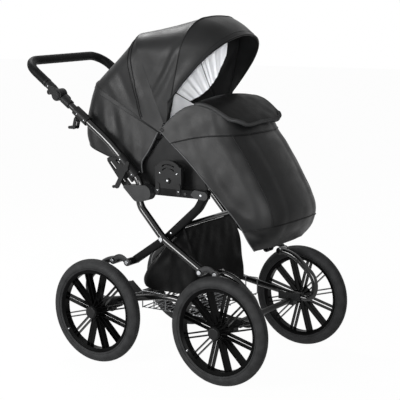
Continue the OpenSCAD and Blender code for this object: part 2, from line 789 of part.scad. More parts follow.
module inner_legs() {
    placed() color("#101114") {
        both_sides() difference() {
            union() {
                bent_tube(INNER_PATH, INNER_BENDS, inner_y, leg_r, leg_wall);
                across(rear_foot, inner_y - leg_r, strap_y - side_gap, eye_r);
                across(pivot, inner_y - leg_r + 1, inner_y + leg_r - 1, cross_bolt_d / 2 + 4);
                across(rail_pivot, inner_y - leg_r, inner_y + leg_r, leg_r);
            }
            across(pivot, 0, outer_y, cross_bolt_d / 2 + run_gap);
            across(rail_pivot, 0, outer_y, rail_pin_d / 2 + run_gap);
        }
        across(front_brace, leg_r / 2 - inner_y, inner_y - leg_r / 2, brace_d / 2);
    }
}

module rear_foot_rivets() {
    placed() color("silver") both_sides() rivet(rear_foot);
}

// Seat rails with the plates that take the seat unit
module seat_rails() {
    r = 4;
    placed() color("#15161a") both_sides() {
        slab(rail_in, rail_out) {
            translate([rail_rear, rail_mid - rail_sec_h / 2 + r])
                square([rail_nose - rail_rear, rail_sec_h - 2 * r]);
            translate([rail_rear + r, rail_mid - rail_sec_h / 2])
                square([rail_nose - rail_rear - 2 * r, rail_sec_h]);
            for (x = [rail_rear + r, rail_nose - r]) for (s = [-1, 1])
                translate([x, rail_mid + s * (rail_sec_h / 2 - r)]) circle(r);
        }
        across(rail_pivot, inner_y - leg_r - 4, rail_in + 1, rail_pin_d / 2);
        across(rail_pivot, inner_y - leg_r - 4, inner_y - leg_r - side_gap, rail_pin_d / 2 + 3);
    }
}

module seat_plates() {
    round = plate_w / 2;
    middle = plate_x + 8;
    placed() color("#1d1e22") both_sides() {
        difference() {
            slab(rail_in, rail_out) difference() {
                union() {
                    translate([middle - round, plate_z]) square([plate_w, plate_h - 22]);
                    intersection() {
                        translate([middle, plate_top - round - 8]) circle(round + 8);
                        translate([middle - round, plate_z]) square([plate_w, plate_h]);
                    }
                }
                for (s = [-1, 1]) intersection() {
                    difference() {
                        translate([middle, plate_z + 30]) circle(s > 0 ? 52 : 40);
                        translate([middle, plate_z + 30]) circle(s > 0 ? 47 : 36);
                    }
                    translate([middle - 24, plate_z + 40]) square([48, 60]);
                }
            }
            translate([plate_x - channel_w / 2, rail_in - 1, plate_z + 23])
                cube([channel_w, channel_deep + 1, plate_h]);
        }
        for (x = [middle - round + 10, middle + round - 10])
            slab(rail_out, rail_out + 3) stadium([x, plate_z - 12], [x, plate_z + 10], 8);
        across([middle, plate_z + 27], rail_out, rail_out + 5, 9);
    }
}

module rail_ends() {
    placed() color("#3a3c40") both_sides() {
        slab(rail_out, rail_out + 4) stadium(rail_pivot + [-20, 2], rail_pivot + [12, -1], 14);
        for (x = [34, 62]) across([rail_pivot[0] - x, rail_mid], rail_out, rail_out + 2.5, 5);
    }
}

// Handle
module inner_tubes() {
    placed() color("#1a1b1e") both_sides() difference() {
        bar(on_handle(inner_from, 0), on_handle(handle_run - knuckle_r - 3, 0), outer_y, inner_d / 2);
        bar(on_handle(inner_from - 6, 0), on_handle(handle_run, 0), outer_y, inner_d / 2 - leg_wall);
    }
}

module knuckle_bases() {
    placed() color("#1b1c20") both_sides() {
        difference() {
            union() {
                across(knuckle, outer_y - knuckle_t, outer_y - side_gap / 2, knuckle_r);
                bar(on_handle(handle_run - knuckle_r - 38, 0), on_handle(handle_run - knuckle_r - 1, 0),
                    outer_y, inner_d / 2 + 4);
                slab(outer_y - knuckle_t, outer_y - side_gap / 2)
                    stadium(on_handle(handle_run - knuckle_r - 8, 0), knuckle, 13);
            }
            bar(on_handle(handle_run - knuckle_r - 60, 0), on_handle(handle_run - knuckle_r - 3, 0),
                outer_y, inner_d / 2 + run_gap);
        }
        across(knuckle, outer_y - 2, outer_y + knuckle_t - 9, 6);
    }
}

// A point of the handle's plane, u along the arms
function on_arm(u) = along(knuckle, 180 - arm_slope, u);

// A U of round bar, drawn flat and tilted so that its arms leave a point at a slope
module u_bar(at, slope, half, reach, bend, r, from) {
    path = [[-half, from], [-half, reach], [half, reach], [half, from]];
    c = cos(slope);
    t = sin(slope);
    translate([at[0], 0, at[1]]) multmatrix([[0, -t, c, 0], [1, 0, 0, 0], [0, c, t, 0], [0, 0, 0, 1]])
        bent_bar(path, [bend, bend], 0, r);
}

module handle_loop(r, from) {
    u_bar(knuckle, 180 - arm_slope, outer_y, arm_len, handle_bend, r, from);
}

module handle_tube() {
    placed() color("#1b1c20") {
        difference() {
            union() {
                handle_loop(handle_d / 2, knuckle_r + 2);
                both_sides() {
                    across(knuckle, outer_y + side_gap / 2, outer_y + knuckle_t, knuckle_r);
                    bar(on_arm(knuckle_r + 1), on_arm(knuckle_r + 42), outer_y, handle_d / 2 + 4);
                    slab(outer_y + side_gap / 2, outer_y + knuckle_t)
                        stadium(on_arm(knuckle_r + 8), knuckle, 13);
                }
            }
            both_sides() {
                across(knuckle, outer_y - 1, outer_y + knuckle_t - 8.5, 6 + run_gap);
                across(knuckle, outer_y + knuckle_t - 7, outer_y + knuckle_t + 1, knuckle_r - 5 + run_gap);
            }
        }
        both_sides() slab(outer_y - ring_t / 2, outer_y + ring_t / 2) difference() {
            translate(ring_at) circle(ring_r + ring_w);
            translate(ring_at) circle(ring_r);
            stadium(on_arm(knuckle_r + 1), on_arm(knuckle_r + 80), handle_d / 2 + 3);
        }
    }
}

module handle_grip() {
    placed() color("#1f1d1c") difference() {
        handle_loop(grip_d / 2, knuckle_r + 43);
        handle_loop(handle_d / 2 + side_gap, knuckle_r + 40);
    }
}

module button(side) {
    y = outer_y + knuckle_t;
    placed() color("#2b2d31") mirror([0, side > 0 ? 0 : 1, 0]) {
        across(knuckle, y - 7 + button_travel + side_gap, y + button_travel - 0.5, knuckle_r - 5);
        across(knuckle, y + button_travel - 0.5, y + button_travel + 0.5, knuckle_r - 8);
    }
}

module button_right() { button(-1); }
module button_left() { button(1); }

// Seat unit
module seat_frame() {
    path = [[back_end[0] + 6, back_end[1] - 15.4], [recline[0] + 6, seat_low + 2], knee, foot_end];
    placed() color("#2b2d31") {
        difference() {
            both_sides() {
                bent_bar(path, [60, 60], seat_half, seat_d / 2);
                seat_tongue(0, seat_half - seat_d / 2 + 1);
                slab(side_in, side_out) stadium([plate_x, seat_low], hinge, 15);
                slab(pad_half + side_gap, side_in + seat_d / 2) stadium([recline[0], seat_low], recline, 9);
            }
            both_sides() across(recline, pad_half, seat_half + seat_d, pin_r + run_gap);
            both_sides() across(hinge, side_in - 1, side_out + 1, pin_r + run_gap);
            both_sides() across(bumper_at, side_in - 1, side_out + 1, pin_r + run_gap);
        }
        for (p = [path[0], foot_end]) across(p, -seat_half - 0.5, seat_half + 0.5, seat_d / 2);
    }
}

// Tongue that slides down into the seat plate's channel
module seat_tongue(gap, y_low) {
    translate([plate_x - channel_w / 2 + side_gap - gap, y_low, plate_z + 23 + side_gap - gap])
        cube([channel_w - 2 * side_gap + 2 * gap, rail_in + channel_deep - side_gap - y_low,
              plate_h - 40 + 2 * gap]);
}

// Fabric sides of the seat, outside the frame
module seat_sides() {
    y = seat_half + seat_d / 2 + side_gap;
    placed() color("#232428") both_sides() difference() {
        slab(y, y + fabric_t) polygon([
            [recline[0] + 4, plate_z + 4], [knee[0] - 24, plate_z + 4], [plate_x + 70, hinge[1] - 58],
            [plate_x + 30, hinge[1] - 26], [hinge[0] - 20, hinge[1] - 24], [recline[0] - 6, seat_low + 52]]);
        seat_tongue(side_gap, y - 1);
    }
}

// Padded bar across the seat, which carries the apron's flap
module bumper_bar() {
    placed() color("#1f1d1c") {
        u_bar(bumper_at, bumper_slope, side_in - side_gap - bumper_d / 2, bumper_reach, 60, bumper_d / 2, 0);
        both_sides() across(bumper_at, side_in - side_gap - bumper_d / 2, side_out - 1, pin_r);
    }
}

module seat_board() {
    half = seat_half - seat_d / 2 - side_gap;
    placed() color("#2b2d31") translate([recline[0] + 14, -half, seat_low - board_t / 2])
        cube([knee[0] - recline[0] - 40, 2 * half, board_t]);
}

// A cushion with a crowned top and sides drawn in between its corners, flat underneath
module cushion(length, half, thick, steps = 8) {
    function edge(t) = 1 - 0.05 * sin(180 * t);
    function crown(s, t) = thick * (0.5 + 0.5 * pow(sin(180 * s) * sin(180 * t), 0.35));
    grid = [for (i = [0:steps]) [for (j = [0:steps])
            let (s = i / steps, t = j / steps)
            [length / 2 + (s - 0.5) * length * edge(t), (t - 0.5) * 2 * half * edge(s), crown(s, t)]]];
    base = [for (row = grid) [for (p = row) [p[0], p[1], 0]]];
    sheet(grid, base);
}

module seat_pad() {
    placed() color("#232428") translate([recline[0] + 14, 0, seat_low + board_t / 2 + side_gap])
        cushion(knee[0] - recline[0] - 20, pad_half - 4, seat_pad_t);
}

// Draws on the backrest, with X up the back from its hinge and Z out of its front
module on_backrest() {
    placed() translate([recline[0], 0, recline[1]]) rotate([0, back_slope_seat - 180, 0])
        mirror([0, 0, 1]) children();
}

module backrest() {
    color("#2b2d31") on_backrest() {
        translate([0, -pad_half, -board_t / 2]) cube([back_len, 2 * pad_half, board_t]);
        translate([0, -pad_half, 0]) rotate([-90, 0, 0]) cylinder(h = 2 * pad_half, r = board_t / 2 + 2);
        translate([0, -side_in, 0]) rotate([-90, 0, 0]) cylinder(h = 2 * side_in, r = pin_r);
    }
}

module back_pad() {
    color("#232428") on_backrest() translate([8, 0, board_t / 2 + side_gap])
        cushion(back_len - 12, pad_half - 4, back_pad_t);
}

// Soft tub round the back: two sides and the rear wall, from the rear bow down
module back_cover() {
    skin_half = rear_bow_half + hood_skin + fabric_t;
    edge = along(hinge, rear_bow_angle + 90, 1);
    rows = [[hinge + [-97, -146], hinge + [-352, -64], cover_half],
            [hinge + [-100, -110], hinge + [-362, -24], cover_half],
            [hinge + [-55, -68], hinge + [-354, 50], mix(skin_half, cover_half, 0.7)],
            [along(edge, rear_bow_angle, 26),
             along(edge, rear_bow_angle, rear_bow_reach + hood_skin + fabric_t),
             skin_half]];
    function wall(in) = [for (row = rows) let (back = heading(row[0], row[1]))
        wrap(row[0], along(row[1], back, -in), row[2] - in, row[2] - in, bow_corner + fabric_t - in,
             4, 0, 4, 3, 4)];
    placed() color("#4a4c50") sheet(wall(0), wall(fabric_t));
}

module footrest() {
    dir = heading(knee, foot_end);
    placed() color("#2b2d31") translate([knee[0], 0, knee[1]]) rotate([0, -dir, 0])
        translate([10, -pad_half, seat_d / 2]) cube([norm(foot_end - knee) - 6, 2 * pad_half, board_t]);
}

// Hood
module hood_pivots() {
    outer_face = front_bow_half + bow_t / 2 + side_gap;
    placed() color("#3a3c40") both_sides() {
        across(hinge, side_in, stud_out, pin_r);
        across(hinge, outer_face, outer_face + 1.5, 13);
        across(hinge, side_out, rear_bow_half - bow_t / 2 - side_gap, 12);
    }
}

// The filled outline of a bow, with its foot at the origin
module arch_shape(half, reach, corner) {
    translate([0, tuck - half]) square([reach - corner, 2 * (half - tuck)]);
    translate([0, corner - half]) square([reach - tuck, 2 * (half - corner)]);
    for (s = [-1, 1]) translate([reach - corner, s * (half - corner)]) circle(corner);
}

// A flat bow that turns on the hood pivots
module hood_bow(angle, reach, half, corner = bow_corner) {
    h = bow_t / 2;
    placed() color("#26272b") difference() {
        union() {
            translate([hinge[0], 0, hinge[1]]) rotate([0, -angle, 0]) linear_extrude(bow_w, center = true)
                difference() {
                    arch_shape(half + h, reach + h, corner + h);
                    translate([-1, 0]) arch_shape(half - h, reach + 1 - h, corner - h);
                }
            both_sides() across(hinge, half - h, half + h, 9);
        }
        both_sides() across(hinge, half - bow_step, half + bow_step, pin_r + run_gap);
    }
}

module hood_bow_rear() { hood_bow(rear_bow_angle, rear_bow_reach, rear_bow_half); }
module hood_bow_mid() { hood_bow(mid_bow_angle, mid_bow_reach, mid_bow_half); }
module hood_bow_front() { hood_bow(front_bow_angle, front_bow_reach, front_bow_half, front_bow_corner); }

// The hood fabric over a bow, at a height above the bow's middle line
function over_bow(angle, reach, half, up, corner = bow_corner, foot = 24) =
    wrap(along(hinge, angle, foot), along(hinge, angle, reach + up), half + up, half + up, corner + up, 3,
         0, 3, 6);

function rear_line(up) = over_bow(rear_bow_angle, rear_bow_reach, rear_bow_half, up);
function mid_line(up) = over_bow(mid_bow_angle, mid_bow_reach, mid_bow_half, up);
function front_line(up) = over_bow(front_bow_angle, front_bow_reach, front_bow_half, up, front_bow_corner);

// A line of points moved forward by the gap between two pieces
function ahead(line) = [for (p = line) p + [side_gap, 0, 0]];

module hood_span(low, high, low_in, high_in, steps, tuck) {
    function rows(a, b) = [for (k = [0:steps]) let (t = k / steps, dip = tuck * sin(180 * t))
        [for (j = [0:len(a) - 1]) let (p = mix(a[j], b[j], t))
         [p[0], p[1], p[2]] - dip * [0, 0, max(0, (p[2] - hinge[1]) / front_bow_reach)]]];
    sheet(rows(low, high), rows(low_in, high_in));
}

module hood_panel_rear() {
    placed() color("#3d3f43")
        hood_span(rear_line(hood_skin + hood_t), mid_line(hood_skin + hood_t),
                  rear_line(hood_skin), mid_line(hood_skin), 4, 4);
}

module hood_panel_front() {
    placed() color("#46484c")
        hood_span(ahead(mid_line(hood_skin + hood_t)), front_line(hood_skin + hood_t),
                  ahead(mid_line(hood_skin)), front_line(hood_skin), 4, 4);
}

// Length of a line of points up to one of them
function run(line, j) = j == 0 ? 0 : run(line, j - 1) + norm(line[j] - line[j - 1]);

// Visor from the front bow's upper part to a free arched edge ahead of it
module hood_visor() {
    foot = hinge + [17, 90];
    peak = hinge + [visor_reach, visor_h];
    half = front_bow_half + 13;
    function from(up) = let (line = ahead(front_line(up))) [for (j = [1:len(line) - 2]) line[j]];
    function edge(line, up) = [for (j = [0:len(line) - 1])
        let (f = 180 * run(line, j) / run(line, len(line) - 1), p = mix(foot, peak, pow(abs(sin(f)), 0.65)))
        [p[0] + up * 0.3, -(half + up) * cos(f), p[1] + up]];
    function rows(up) = let (b = from(up), a = edge(b, up - hood_skin))
        [for (k = [0:4]) [for (j = [0:len(a) - 1]) mix(b[j], a[j], k / 4) + [0, 0, 8 * sin(45 * k)]]];
    placed() color("#34363a") sheet(rows(hood_skin + hood_t), rows(hood_skin));
}

// Padded leg apron, from its rear edges at the seat's sides round the front and under the toes
module leg_apron() {
    full = apron_front_half;
    rows = [[[-15, -3], [246, 18], 0, full - 7, 90, 75], [[28, -41], [262, -11], 0, full - 1, 90, 30],
            [[101, -104], [302, -61], 2, full, 90, 0], [[174, -180], [358, -151], 8, full, 90, 0],
            [[215, -227], [392, -214], 15, full, 90, 0],
            [[265, -289], [apron_reach, -266], 25, full - 1, 85, 0],
            [[300, -351], [395, -322], 38, full - 12, 66, 0],
            [[311, -384], [358, -370], 58, full - 44, 36, 0]];
    function rings(in) = [for (row = rows)
        let (a = hinge + row[0], b = hinge + row[1])
        wrap(a, along(b, heading(a, b), -in), apron_half - row[2] - in, row[3] - in, row[4] - in, apron_crown,
             row[5])];
    placed() color("#2c2d31") sheet(rings(0), rings(apron_t));
}

// Padded flap that lies over the apron's top edge and hangs a little down its front
module apron_flap() {
    rows = [[106, 90, 7], [135, 92, 1], [180, 79, 7], [220, 53, 17], [258, 27, 33], [272, 11, 49]];
    function level(up) = [for (row = rows) [for (k = [-5:5]) let (t = k / 5)
        [hinge[0] + row[0], (apron_front_half - row[2]) * t, hinge[1] + row[1] + 14 * (1 - t * t) + up]]];
    placed() color("#3a3c40") sheet(level(0), level(-flap_t));
}

base_rails();
front_axle();
rear_axle();
axle_brackets();
wire_tray();
brake_bar();
suspension_straps();
strap_rivets();
basket_bag();
tyre_front_right();
rim_front_right();
hub_set_front_right();
tyre_front_left();
rim_front_left();
hub_set_front_left();
tyre_rear_right();
rim_rear_right();
hub_set_rear_right();
tyre_rear_left();
rim_rear_left();
hub_set_rear_left();
cross_axle();
outer_legs();
lock_housings();
lock_brackets();
handle_clamps();
foot_rivets();
lock_lever_right();
lock_lever_left();
clamp_lever_right();
clamp_lever_left();
inner_legs();
rear_foot_rivets();
seat_rails();
seat_plates();
rail_ends();
inner_tubes();
knuckle_bases();
handle_tube();
handle_grip();
button_right();
button_left();
seat_frame();
seat_board();
seat_pad();
backrest();
back_pad();
back_cover();
footrest();
seat_sides();
bumper_bar();
hood_pivots();
hood_bow_rear();
hood_bow_mid();
hood_bow_front();
hood_panel_rear();
hood_panel_front();
hood_visor();
leg_apron();
apron_flap();
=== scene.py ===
# Looks of the pram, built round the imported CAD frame.
# Lengths in the pieces' own tables are in millimetres from the point on the floor midway
# between the axles: X forward, Y to the pram's left, Z up. row() turns them into the row frame.
import math

import bmesh
import bpy
import numpy as np
from mathutils import Matrix, Vector, noise


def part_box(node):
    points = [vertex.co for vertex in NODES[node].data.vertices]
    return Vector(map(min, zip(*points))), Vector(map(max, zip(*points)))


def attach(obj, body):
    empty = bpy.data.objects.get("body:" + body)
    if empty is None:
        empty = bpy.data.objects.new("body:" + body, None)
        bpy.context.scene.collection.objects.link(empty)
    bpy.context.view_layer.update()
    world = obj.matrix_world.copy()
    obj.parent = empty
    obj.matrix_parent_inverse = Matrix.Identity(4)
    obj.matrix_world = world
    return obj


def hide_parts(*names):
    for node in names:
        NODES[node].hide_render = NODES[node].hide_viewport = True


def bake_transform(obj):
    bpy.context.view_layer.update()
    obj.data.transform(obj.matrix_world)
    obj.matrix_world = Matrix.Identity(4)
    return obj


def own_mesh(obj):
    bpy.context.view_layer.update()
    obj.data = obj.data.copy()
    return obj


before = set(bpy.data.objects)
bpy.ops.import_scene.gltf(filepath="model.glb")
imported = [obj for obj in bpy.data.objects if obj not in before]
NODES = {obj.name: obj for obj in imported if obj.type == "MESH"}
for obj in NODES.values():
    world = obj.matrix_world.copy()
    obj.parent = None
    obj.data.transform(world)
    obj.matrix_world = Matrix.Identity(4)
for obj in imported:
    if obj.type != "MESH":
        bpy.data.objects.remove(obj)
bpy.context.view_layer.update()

corners = [v.x for n in ("tyre_front_right", "tyre_rear_right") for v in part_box(n)]
SHIFT = sum(corners) / len(corners)


def add_object(name, data):
    obj = bpy.data.objects.new(name, data)
    bpy.context.scene.collection.objects.link(obj)
    return obj


# Points and paths
def row(points):
    out = np.array(points, float) / 1000
    out[..., 0] += SHIFT
    return out


def polar(at, angle, length):
    a = math.radians(angle)
    return np.array([at[0] + length * math.cos(a), at[1] + length * math.sin(a)])


def heading(a, b):
    return math.degrees(math.atan2(b[1] - a[1], b[0] - a[0]))


def arc(centre, radius, start, turn, steps):
    """Points on an arc from a start angle through a turn, in degrees."""
    return [polar(centre, start + turn * k / steps, radius) for k in range(steps + 1)]


def mix(a, b, t):
    return np.asarray(a, float) * (1 - t) + np.asarray(b, float) * t


def rounded(path, bends, step=4.0):
    """A path in the side view with every bend rounded."""
    out = [np.array(path[0], float)]
    for i in range(1, len(path) - 1):
        a, b, c = (np.array(path[k], float) for k in (i - 1, i, i + 1))
        first = heading(a, b)
        turn = (heading(b, c) - first + 180) % 360 - 180
        side = 1 if turn > 0 else -1
        radius = bends[i - 1]
        start = polar(b, first + 180, radius * math.tan(math.radians(abs(turn) / 2)))
        centre = polar(start, first + 90 * side, radius)
        out += arc(centre, radius, first - 90 * side, turn, max(2, int(abs(turn) / step)))
    out.append(np.array(path[-1], float))
    return np.array(out)


def at_side(path, y):
    """A path of the side view as points at one y."""
    path = np.asarray(path, float)
    return np.stack([path[:, 0], np.full(len(path), float(y)), path[:, 1]], axis=1)


def run_along(line):
    """The way along a line from its start to each of its points."""
    return np.concatenate([[0], np.cumsum(np.linalg.norm(np.diff(line, axis=0), axis=1))])


def resample(line, count):
    line = np.asarray(line, float)
    run = run_along(line)
    at = np.linspace(0, run[-1], count)
    return np.stack([np.interp(at, run, line[:, k]) for k in range(3)], axis=1)


def smooth_rows(rows, count):
    """Rows of points joined by a smooth curve through each, resampled to a count of rows."""
    rows = np.asarray(rows, float)
    last = len(rows) - 1
    out = []
    for t in np.linspace(0, last, count):
        i = min(int(t), last - 1)
        f = t - i
        p0, p1 = rows[max(i - 1, 0)], rows[i]
        p2, p3 = rows[i + 1], rows[min(i + 2, last)]
        out.append(0.5 * (2 * p1 + (p2 - p0) * f + (2 * p0 - 5 * p1 + 4 * p2 - p3) * f**2
                          + (3 * p1 - p0 - 3 * p2 + p3) * f**3))
    return np.array(out)


def mirrored(line):
    return np.asarray(line, float) * np.array([1, -1, 1])


# Camera, fitted to the four wheels in the photograph
LENS, SENSOR = 106.63, 36
CAMERA_AT = (2.25428 + SHIFT, -3.33988, 1.25392)
CAMERA_AXES = ((0.83038, 0.55701, -0.01476), (-0.08452, 0.15210, 0.98475), (0.55075, -0.81647, 0.17337))


def make_camera():
    data = bpy.data.cameras.new("camera")
    data.lens, data.sensor_width = LENS, SENSOR
    data.clip_start, data.clip_end = 0.1, 60
    cam = add_object("camera", data)
    turn = Matrix(CAMERA_AXES).transposed()
    cam.matrix_world = Matrix.Translation(CAMERA_AT) @ turn.to_4x4()
    bpy.context.scene.camera = cam


# Materials
class Paint:
    """A material under construction, with its shader and texture coordinates."""

    def __init__(self, name, colour, rough, metal=0.0, **values):
        self.mat = bpy.data.materials.new(name)
        self.mat.use_nodes = True
        self.tree = self.mat.node_tree
        self.shader = self.tree.nodes["Principled BSDF"]
        self.coords = self.tree.nodes.new("ShaderNodeTexCoord")
        self.height = None
        self.mat.diffuse_color = (*colour, 1)
        self.set("Base Color", (*colour, 1))
        self.set("Roughness", rough)
        self.set("Metallic", metal)
        for key, value in values.items():
            self.set(key.replace("_", " "), value)

    def set(self, name, value):
        self.shader.inputs[name].default_value = value

    def link(self, a, b):
        self.tree.links.new(a, b)

    def texture(self, kind, out, stretch=None, **values):
        node = self.tree.nodes.new(kind)
        for key, value in values.items():
            node.inputs[key].default_value = value
        source = self.coords.outputs["Object"]
        if stretch:
            mapping = self.tree.nodes.new("ShaderNodeMapping")
            mapping.inputs["Scale"].default_value = stretch
            self.link(source, mapping.inputs["Vector"])
            source = mapping.outputs["Vector"]
        self.link(source, node.inputs["Vector"])
        return node, node.outputs[out]

    def noise(self, scale, detail=3.0, stretch=None):
        return self.texture("ShaderNodeTexNoise", "Fac", stretch, Scale=scale, Detail=detail)[1]

    def cells(self, scale):
        return self.texture("ShaderNodeTexVoronoi", "Distance", None, Scale=scale)[1]

    def wave(self, scale, direction, distortion=0.0):
        node, out = self.texture("ShaderNodeTexWave", "Fac", None, Scale=scale, Distortion=distortion)
        node.bands_direction = direction
        return out

    def ramp(self, factor, low, high):
        node = self.tree.nodes.new("ShaderNodeValToRGB")
        for element, place, value in zip(node.color_ramp.elements, (0.3, 0.7), (low, high)):
            element.position = place
            element.color = (*value, 1) if hasattr(value, "__len__") else (value, value, value, 1)
        self.link(factor, node.inputs["Fac"])
        return node.outputs["Color"]

    def vary(self, name, factor, low, high):
        self.link(self.ramp(factor, low, high), self.shader.inputs[name])

    def bump(self, factor, strength, distance):
        node = self.tree.nodes.new("ShaderNodeBump")
        node.inputs["Strength"].default_value = strength
        node.inputs["Distance"].default_value = distance
        self.link(factor, node.inputs["Height"])
        if self.height is not None:
            self.link(self.height, node.inputs["Normal"])
        self.height = node.outputs["Normal"]
        self.link(self.height, self.shader.inputs["Normal"])


# Each kind of finish: noise of its colour and of its roughness, the roughness's spread, and its bumps
KINDS = {
    "leatherette": ((9, 4), (26,), (-0.05, 0.07),
                    [("cells", (620,), 0.22, 0.0006), ("noise", (1400, 2), 0.12, 0.0004)]),
    "plastic": ((14,), (40,), (-0.06, 0.06), [("noise", (900, 2), 0.2, 0.0003)]),
    "enamel": ((18, 2), (60,), (-0.03, 0.06), [("noise", (260, 2), 0.05, 0.0004)]),
    "metal": ((120,), (300, 3, (1, 8, 1)), (-0.06, 0.08), [("noise", (700, 2, (1, 6, 1)), 0.08, 0.0002)]),
    "rubber": ((35, 4), (90,), (-0.06, 0.10), [("noise", (1100, 2), 0.25, 0.0004)]),
    "weave": ((22, 4), (70,), (-0.05, 0.08), []),
}


def finish(kind, name, low, high, rough, shine=0.5, threads=0, sheen=0.0):
    """A material of a kind, its colour between two greys or tones, with waves for the threads of a weave."""
    tone, mottle, spread, bumps = KINDS[kind]
    low, high = ((v, v * 1.02, v * 1.05) if isinstance(v, float) else v for v in (low, high))
    p = Paint(name, high, rough, float(kind == "metal"), Specular_IOR_Level=shine)
    p.vary("Base Color", p.noise(*tone), low, high)
    p.vary("Roughness", p.noise(*mottle), rough + spread[0], rough + spread[1])
    if threads:
        p.set("Sheen Weight", sheen)
        p.set("Sheen Roughness", 0.45)
        bumps = [("wave", (threads, direction, 0.4), 0.2, 0.0004) for direction in ("X", "Z")]
    for texture, values, strength, distance in bumps:
        p.bump(getattr(p, texture)(*values), strength, distance)
    return p.mat


FINISHES = {
    "leatherette": ("leatherette", "leatherette", 0.004, 0.008, 0.42, 0.14),
    "leatherette_dark": ("leatherette", "leatherette_dark", 0.003, 0.006, 0.46, 0.1),
    # the flap's darker copy of the leatherette is painted shade, for its top that faces away from the lamps
    "flap": ("leatherette", "flap_leatherette_painted_shade", 0.002, 0.004, 0.5, 0.07),
    "piping": ("leatherette", "piping", 0.003, 0.006, 0.45, 0.1),
    "binding": ("leatherette", "ribbed_binding", 0.010, 0.020, 0.5, 0.2),
    # the edge trim's light grey is a painted highlight, standing for the sheen along the piped edges
    "trim": ("leatherette", "edge_painted_highlight", 0.035, 0.06, 0.45, 0.25),
    "grip": ("leatherette", "grip_leather", 0.002, 0.004, 0.5, 0.06),
    "strap": ("leatherette", "strap_leather", 0.010, 0.020, 0.45, 0.2),
    "tube": ("enamel", "gloss_black_tube", 0.002, 0.004, 0.12, 0.4),
    "bar": ("enamel", "satin_black_bar", 0.002, 0.004, 0.3, 0.06),
    "satin": ("enamel", "satin_black_metal", 0.004, 0.008, 0.34, 0.2),
    "plastic": ("plastic", "black_plastic", 0.004, 0.008, 0.42, 0.11),
    "grey_plastic": ("plastic", "grey_plastic", 0.010, 0.018, 0.4, 0.16),
    "rim": ("enamel", "gloss_black_plastic", 0.001, 0.002, 0.28, 0.03),
    "rubber": ("rubber", "tyre_rubber", 0.009, 0.017, 0.62, 0.12),
    "steel": ("metal", "bright_steel", 0.34, 0.48, 0.3),
    "wire": ("metal", "tray_wire", 0.10, 0.20, 0.35),
    "bag": ("weave", "bag_fabric", 0.0015, 0.003, 0.45, 0.05, 1300, 0.0),
    "lining": ("weave", "hood_lining", (0.84, 0.85, 0.88), (0.92, 0.93, 0.95), 0.6, 0.3, 900, 0.1),
    "cushion": ("weave", "cushion_fabric", 0.010, 0.020, 0.75, 0.2, 800, 0.1),
}
MATS = {key: finish(*values) for key, values in FINISHES.items()}


# Meshes
def piece(name, verts, faces, mat):
    """A mesh object with merged points, faces turned outward and creases kept sharp."""
    data = bpy.data.meshes.new(name)
    data.from_pydata([tuple(map(float, v)) for v in verts], [], [tuple(map(int, f)) for f in faces])
    bm = bmesh.new()
    bm.from_mesh(data)
    bmesh.ops.remove_doubles(bm, verts=bm.verts, dist=1e-6)
    bmesh.ops.dissolve_degenerate(bm, edges=bm.edges, dist=1e-7)
    bmesh.ops.recalc_face_normals(bm, faces=bm.faces)
    for face in bm.faces:
        face.smooth = True
    for edge in bm.edges:
        edge.smooth = len(edge.link_faces) != 2 or edge.calc_face_angle() < 0.75
    bm.to_mesh(data)
    bm.free()
    data.materials.append(MATS[mat])
    return add_object(name, data)


def joined(name, parts):
    """One object from several pieces."""
    verts, faces, looks, mats, sharp = [], [], [], [], set()
    for obj in parts:
        start = len(verts)
        verts += [v.co.copy() for v in obj.data.vertices]
        sharp |= {tuple(sorted(start + i for i in e.vertices)) for e in obj.data.edges if e.use_edge_sharp}
        for p in obj.data.polygons:
            faces.append([start + i for i in p.vertices])
            mat = obj.data.materials[p.material_index]
            if mat not in mats:
                mats.append(mat)
            looks.append(mats.index(mat))
        bpy.data.objects.remove(obj)
    data = bpy.data.meshes.new(name)
    data.from_pydata(verts, [], faces)
    for mat in mats:
        data.materials.append(mat)
    data.polygons.foreach_set("material_index", looks)
    data.polygons.foreach_set("use_smooth", [True] * len(looks))
    for e in data.edges:
        e.use_edge_sharp = tuple(sorted(e.vertices)) in sharp
    return add_object(name, data)


def quads(rows, cols, loop=False, start=0):
    faces = []
    for i in range(rows - 1):
        for j in range(cols if loop else cols - 1):
            k = (j + 1) % cols
            faces.append((start + i * cols + j, start + i * cols + k,
                          start + (i + 1) * cols + k, start + (i + 1) * cols + j))
    return faces


def border(rows, cols):
    """The points round the edge of a grid, in order."""
    ring = list(range(cols)) + [i * cols + cols - 1 for i in range(1, rows)]
    ring += [(rows - 1) * cols + j for j in range(cols - 2, -1, -1)]
    return ring + [i * cols for i in range(rows - 2, 0, -1)]


def outward(grid, inside, loop=False):
    """Unit normals of a grid of points, turned away from a point inside it."""
    down = np.gradient(grid, axis=0)
    over = (np.roll(grid, -1, axis=1) - np.roll(grid, 1, axis=1)) if loop else np.gradient(grid, axis=1)
    n = np.cross(down, over)
    n /= np.maximum(np.linalg.norm(n, axis=2, keepdims=True), 1e-12)
    return n if ((grid - np.asarray(inside, float)) * n).sum() > 0 else -n


def inset(grid, inside, depth, loop=False):
    """A grid set in from its face by a depth, towards a point inside."""
    return grid - outward(grid, inside, loop) * depth


def cloth(name, grid, thick, mat, inside):
    """A closed sheet whose outer face is a grid in millimetres, thick towards a point inside."""
    rows, cols = grid.shape[:2]
    back = inset(grid, inside, thick)
    count = rows * cols
    ring = border(rows, cols)
    rim = [(a, b, b + count, a + count) for a, b in zip(ring, ring[1:] + ring[:1])]
    verts = np.concatenate([row(grid).reshape(-1, 3), row(back).reshape(-1, 3)])
    return piece(name, verts, quads(rows, cols) + quads(rows, cols, start=count) + rim, mat)


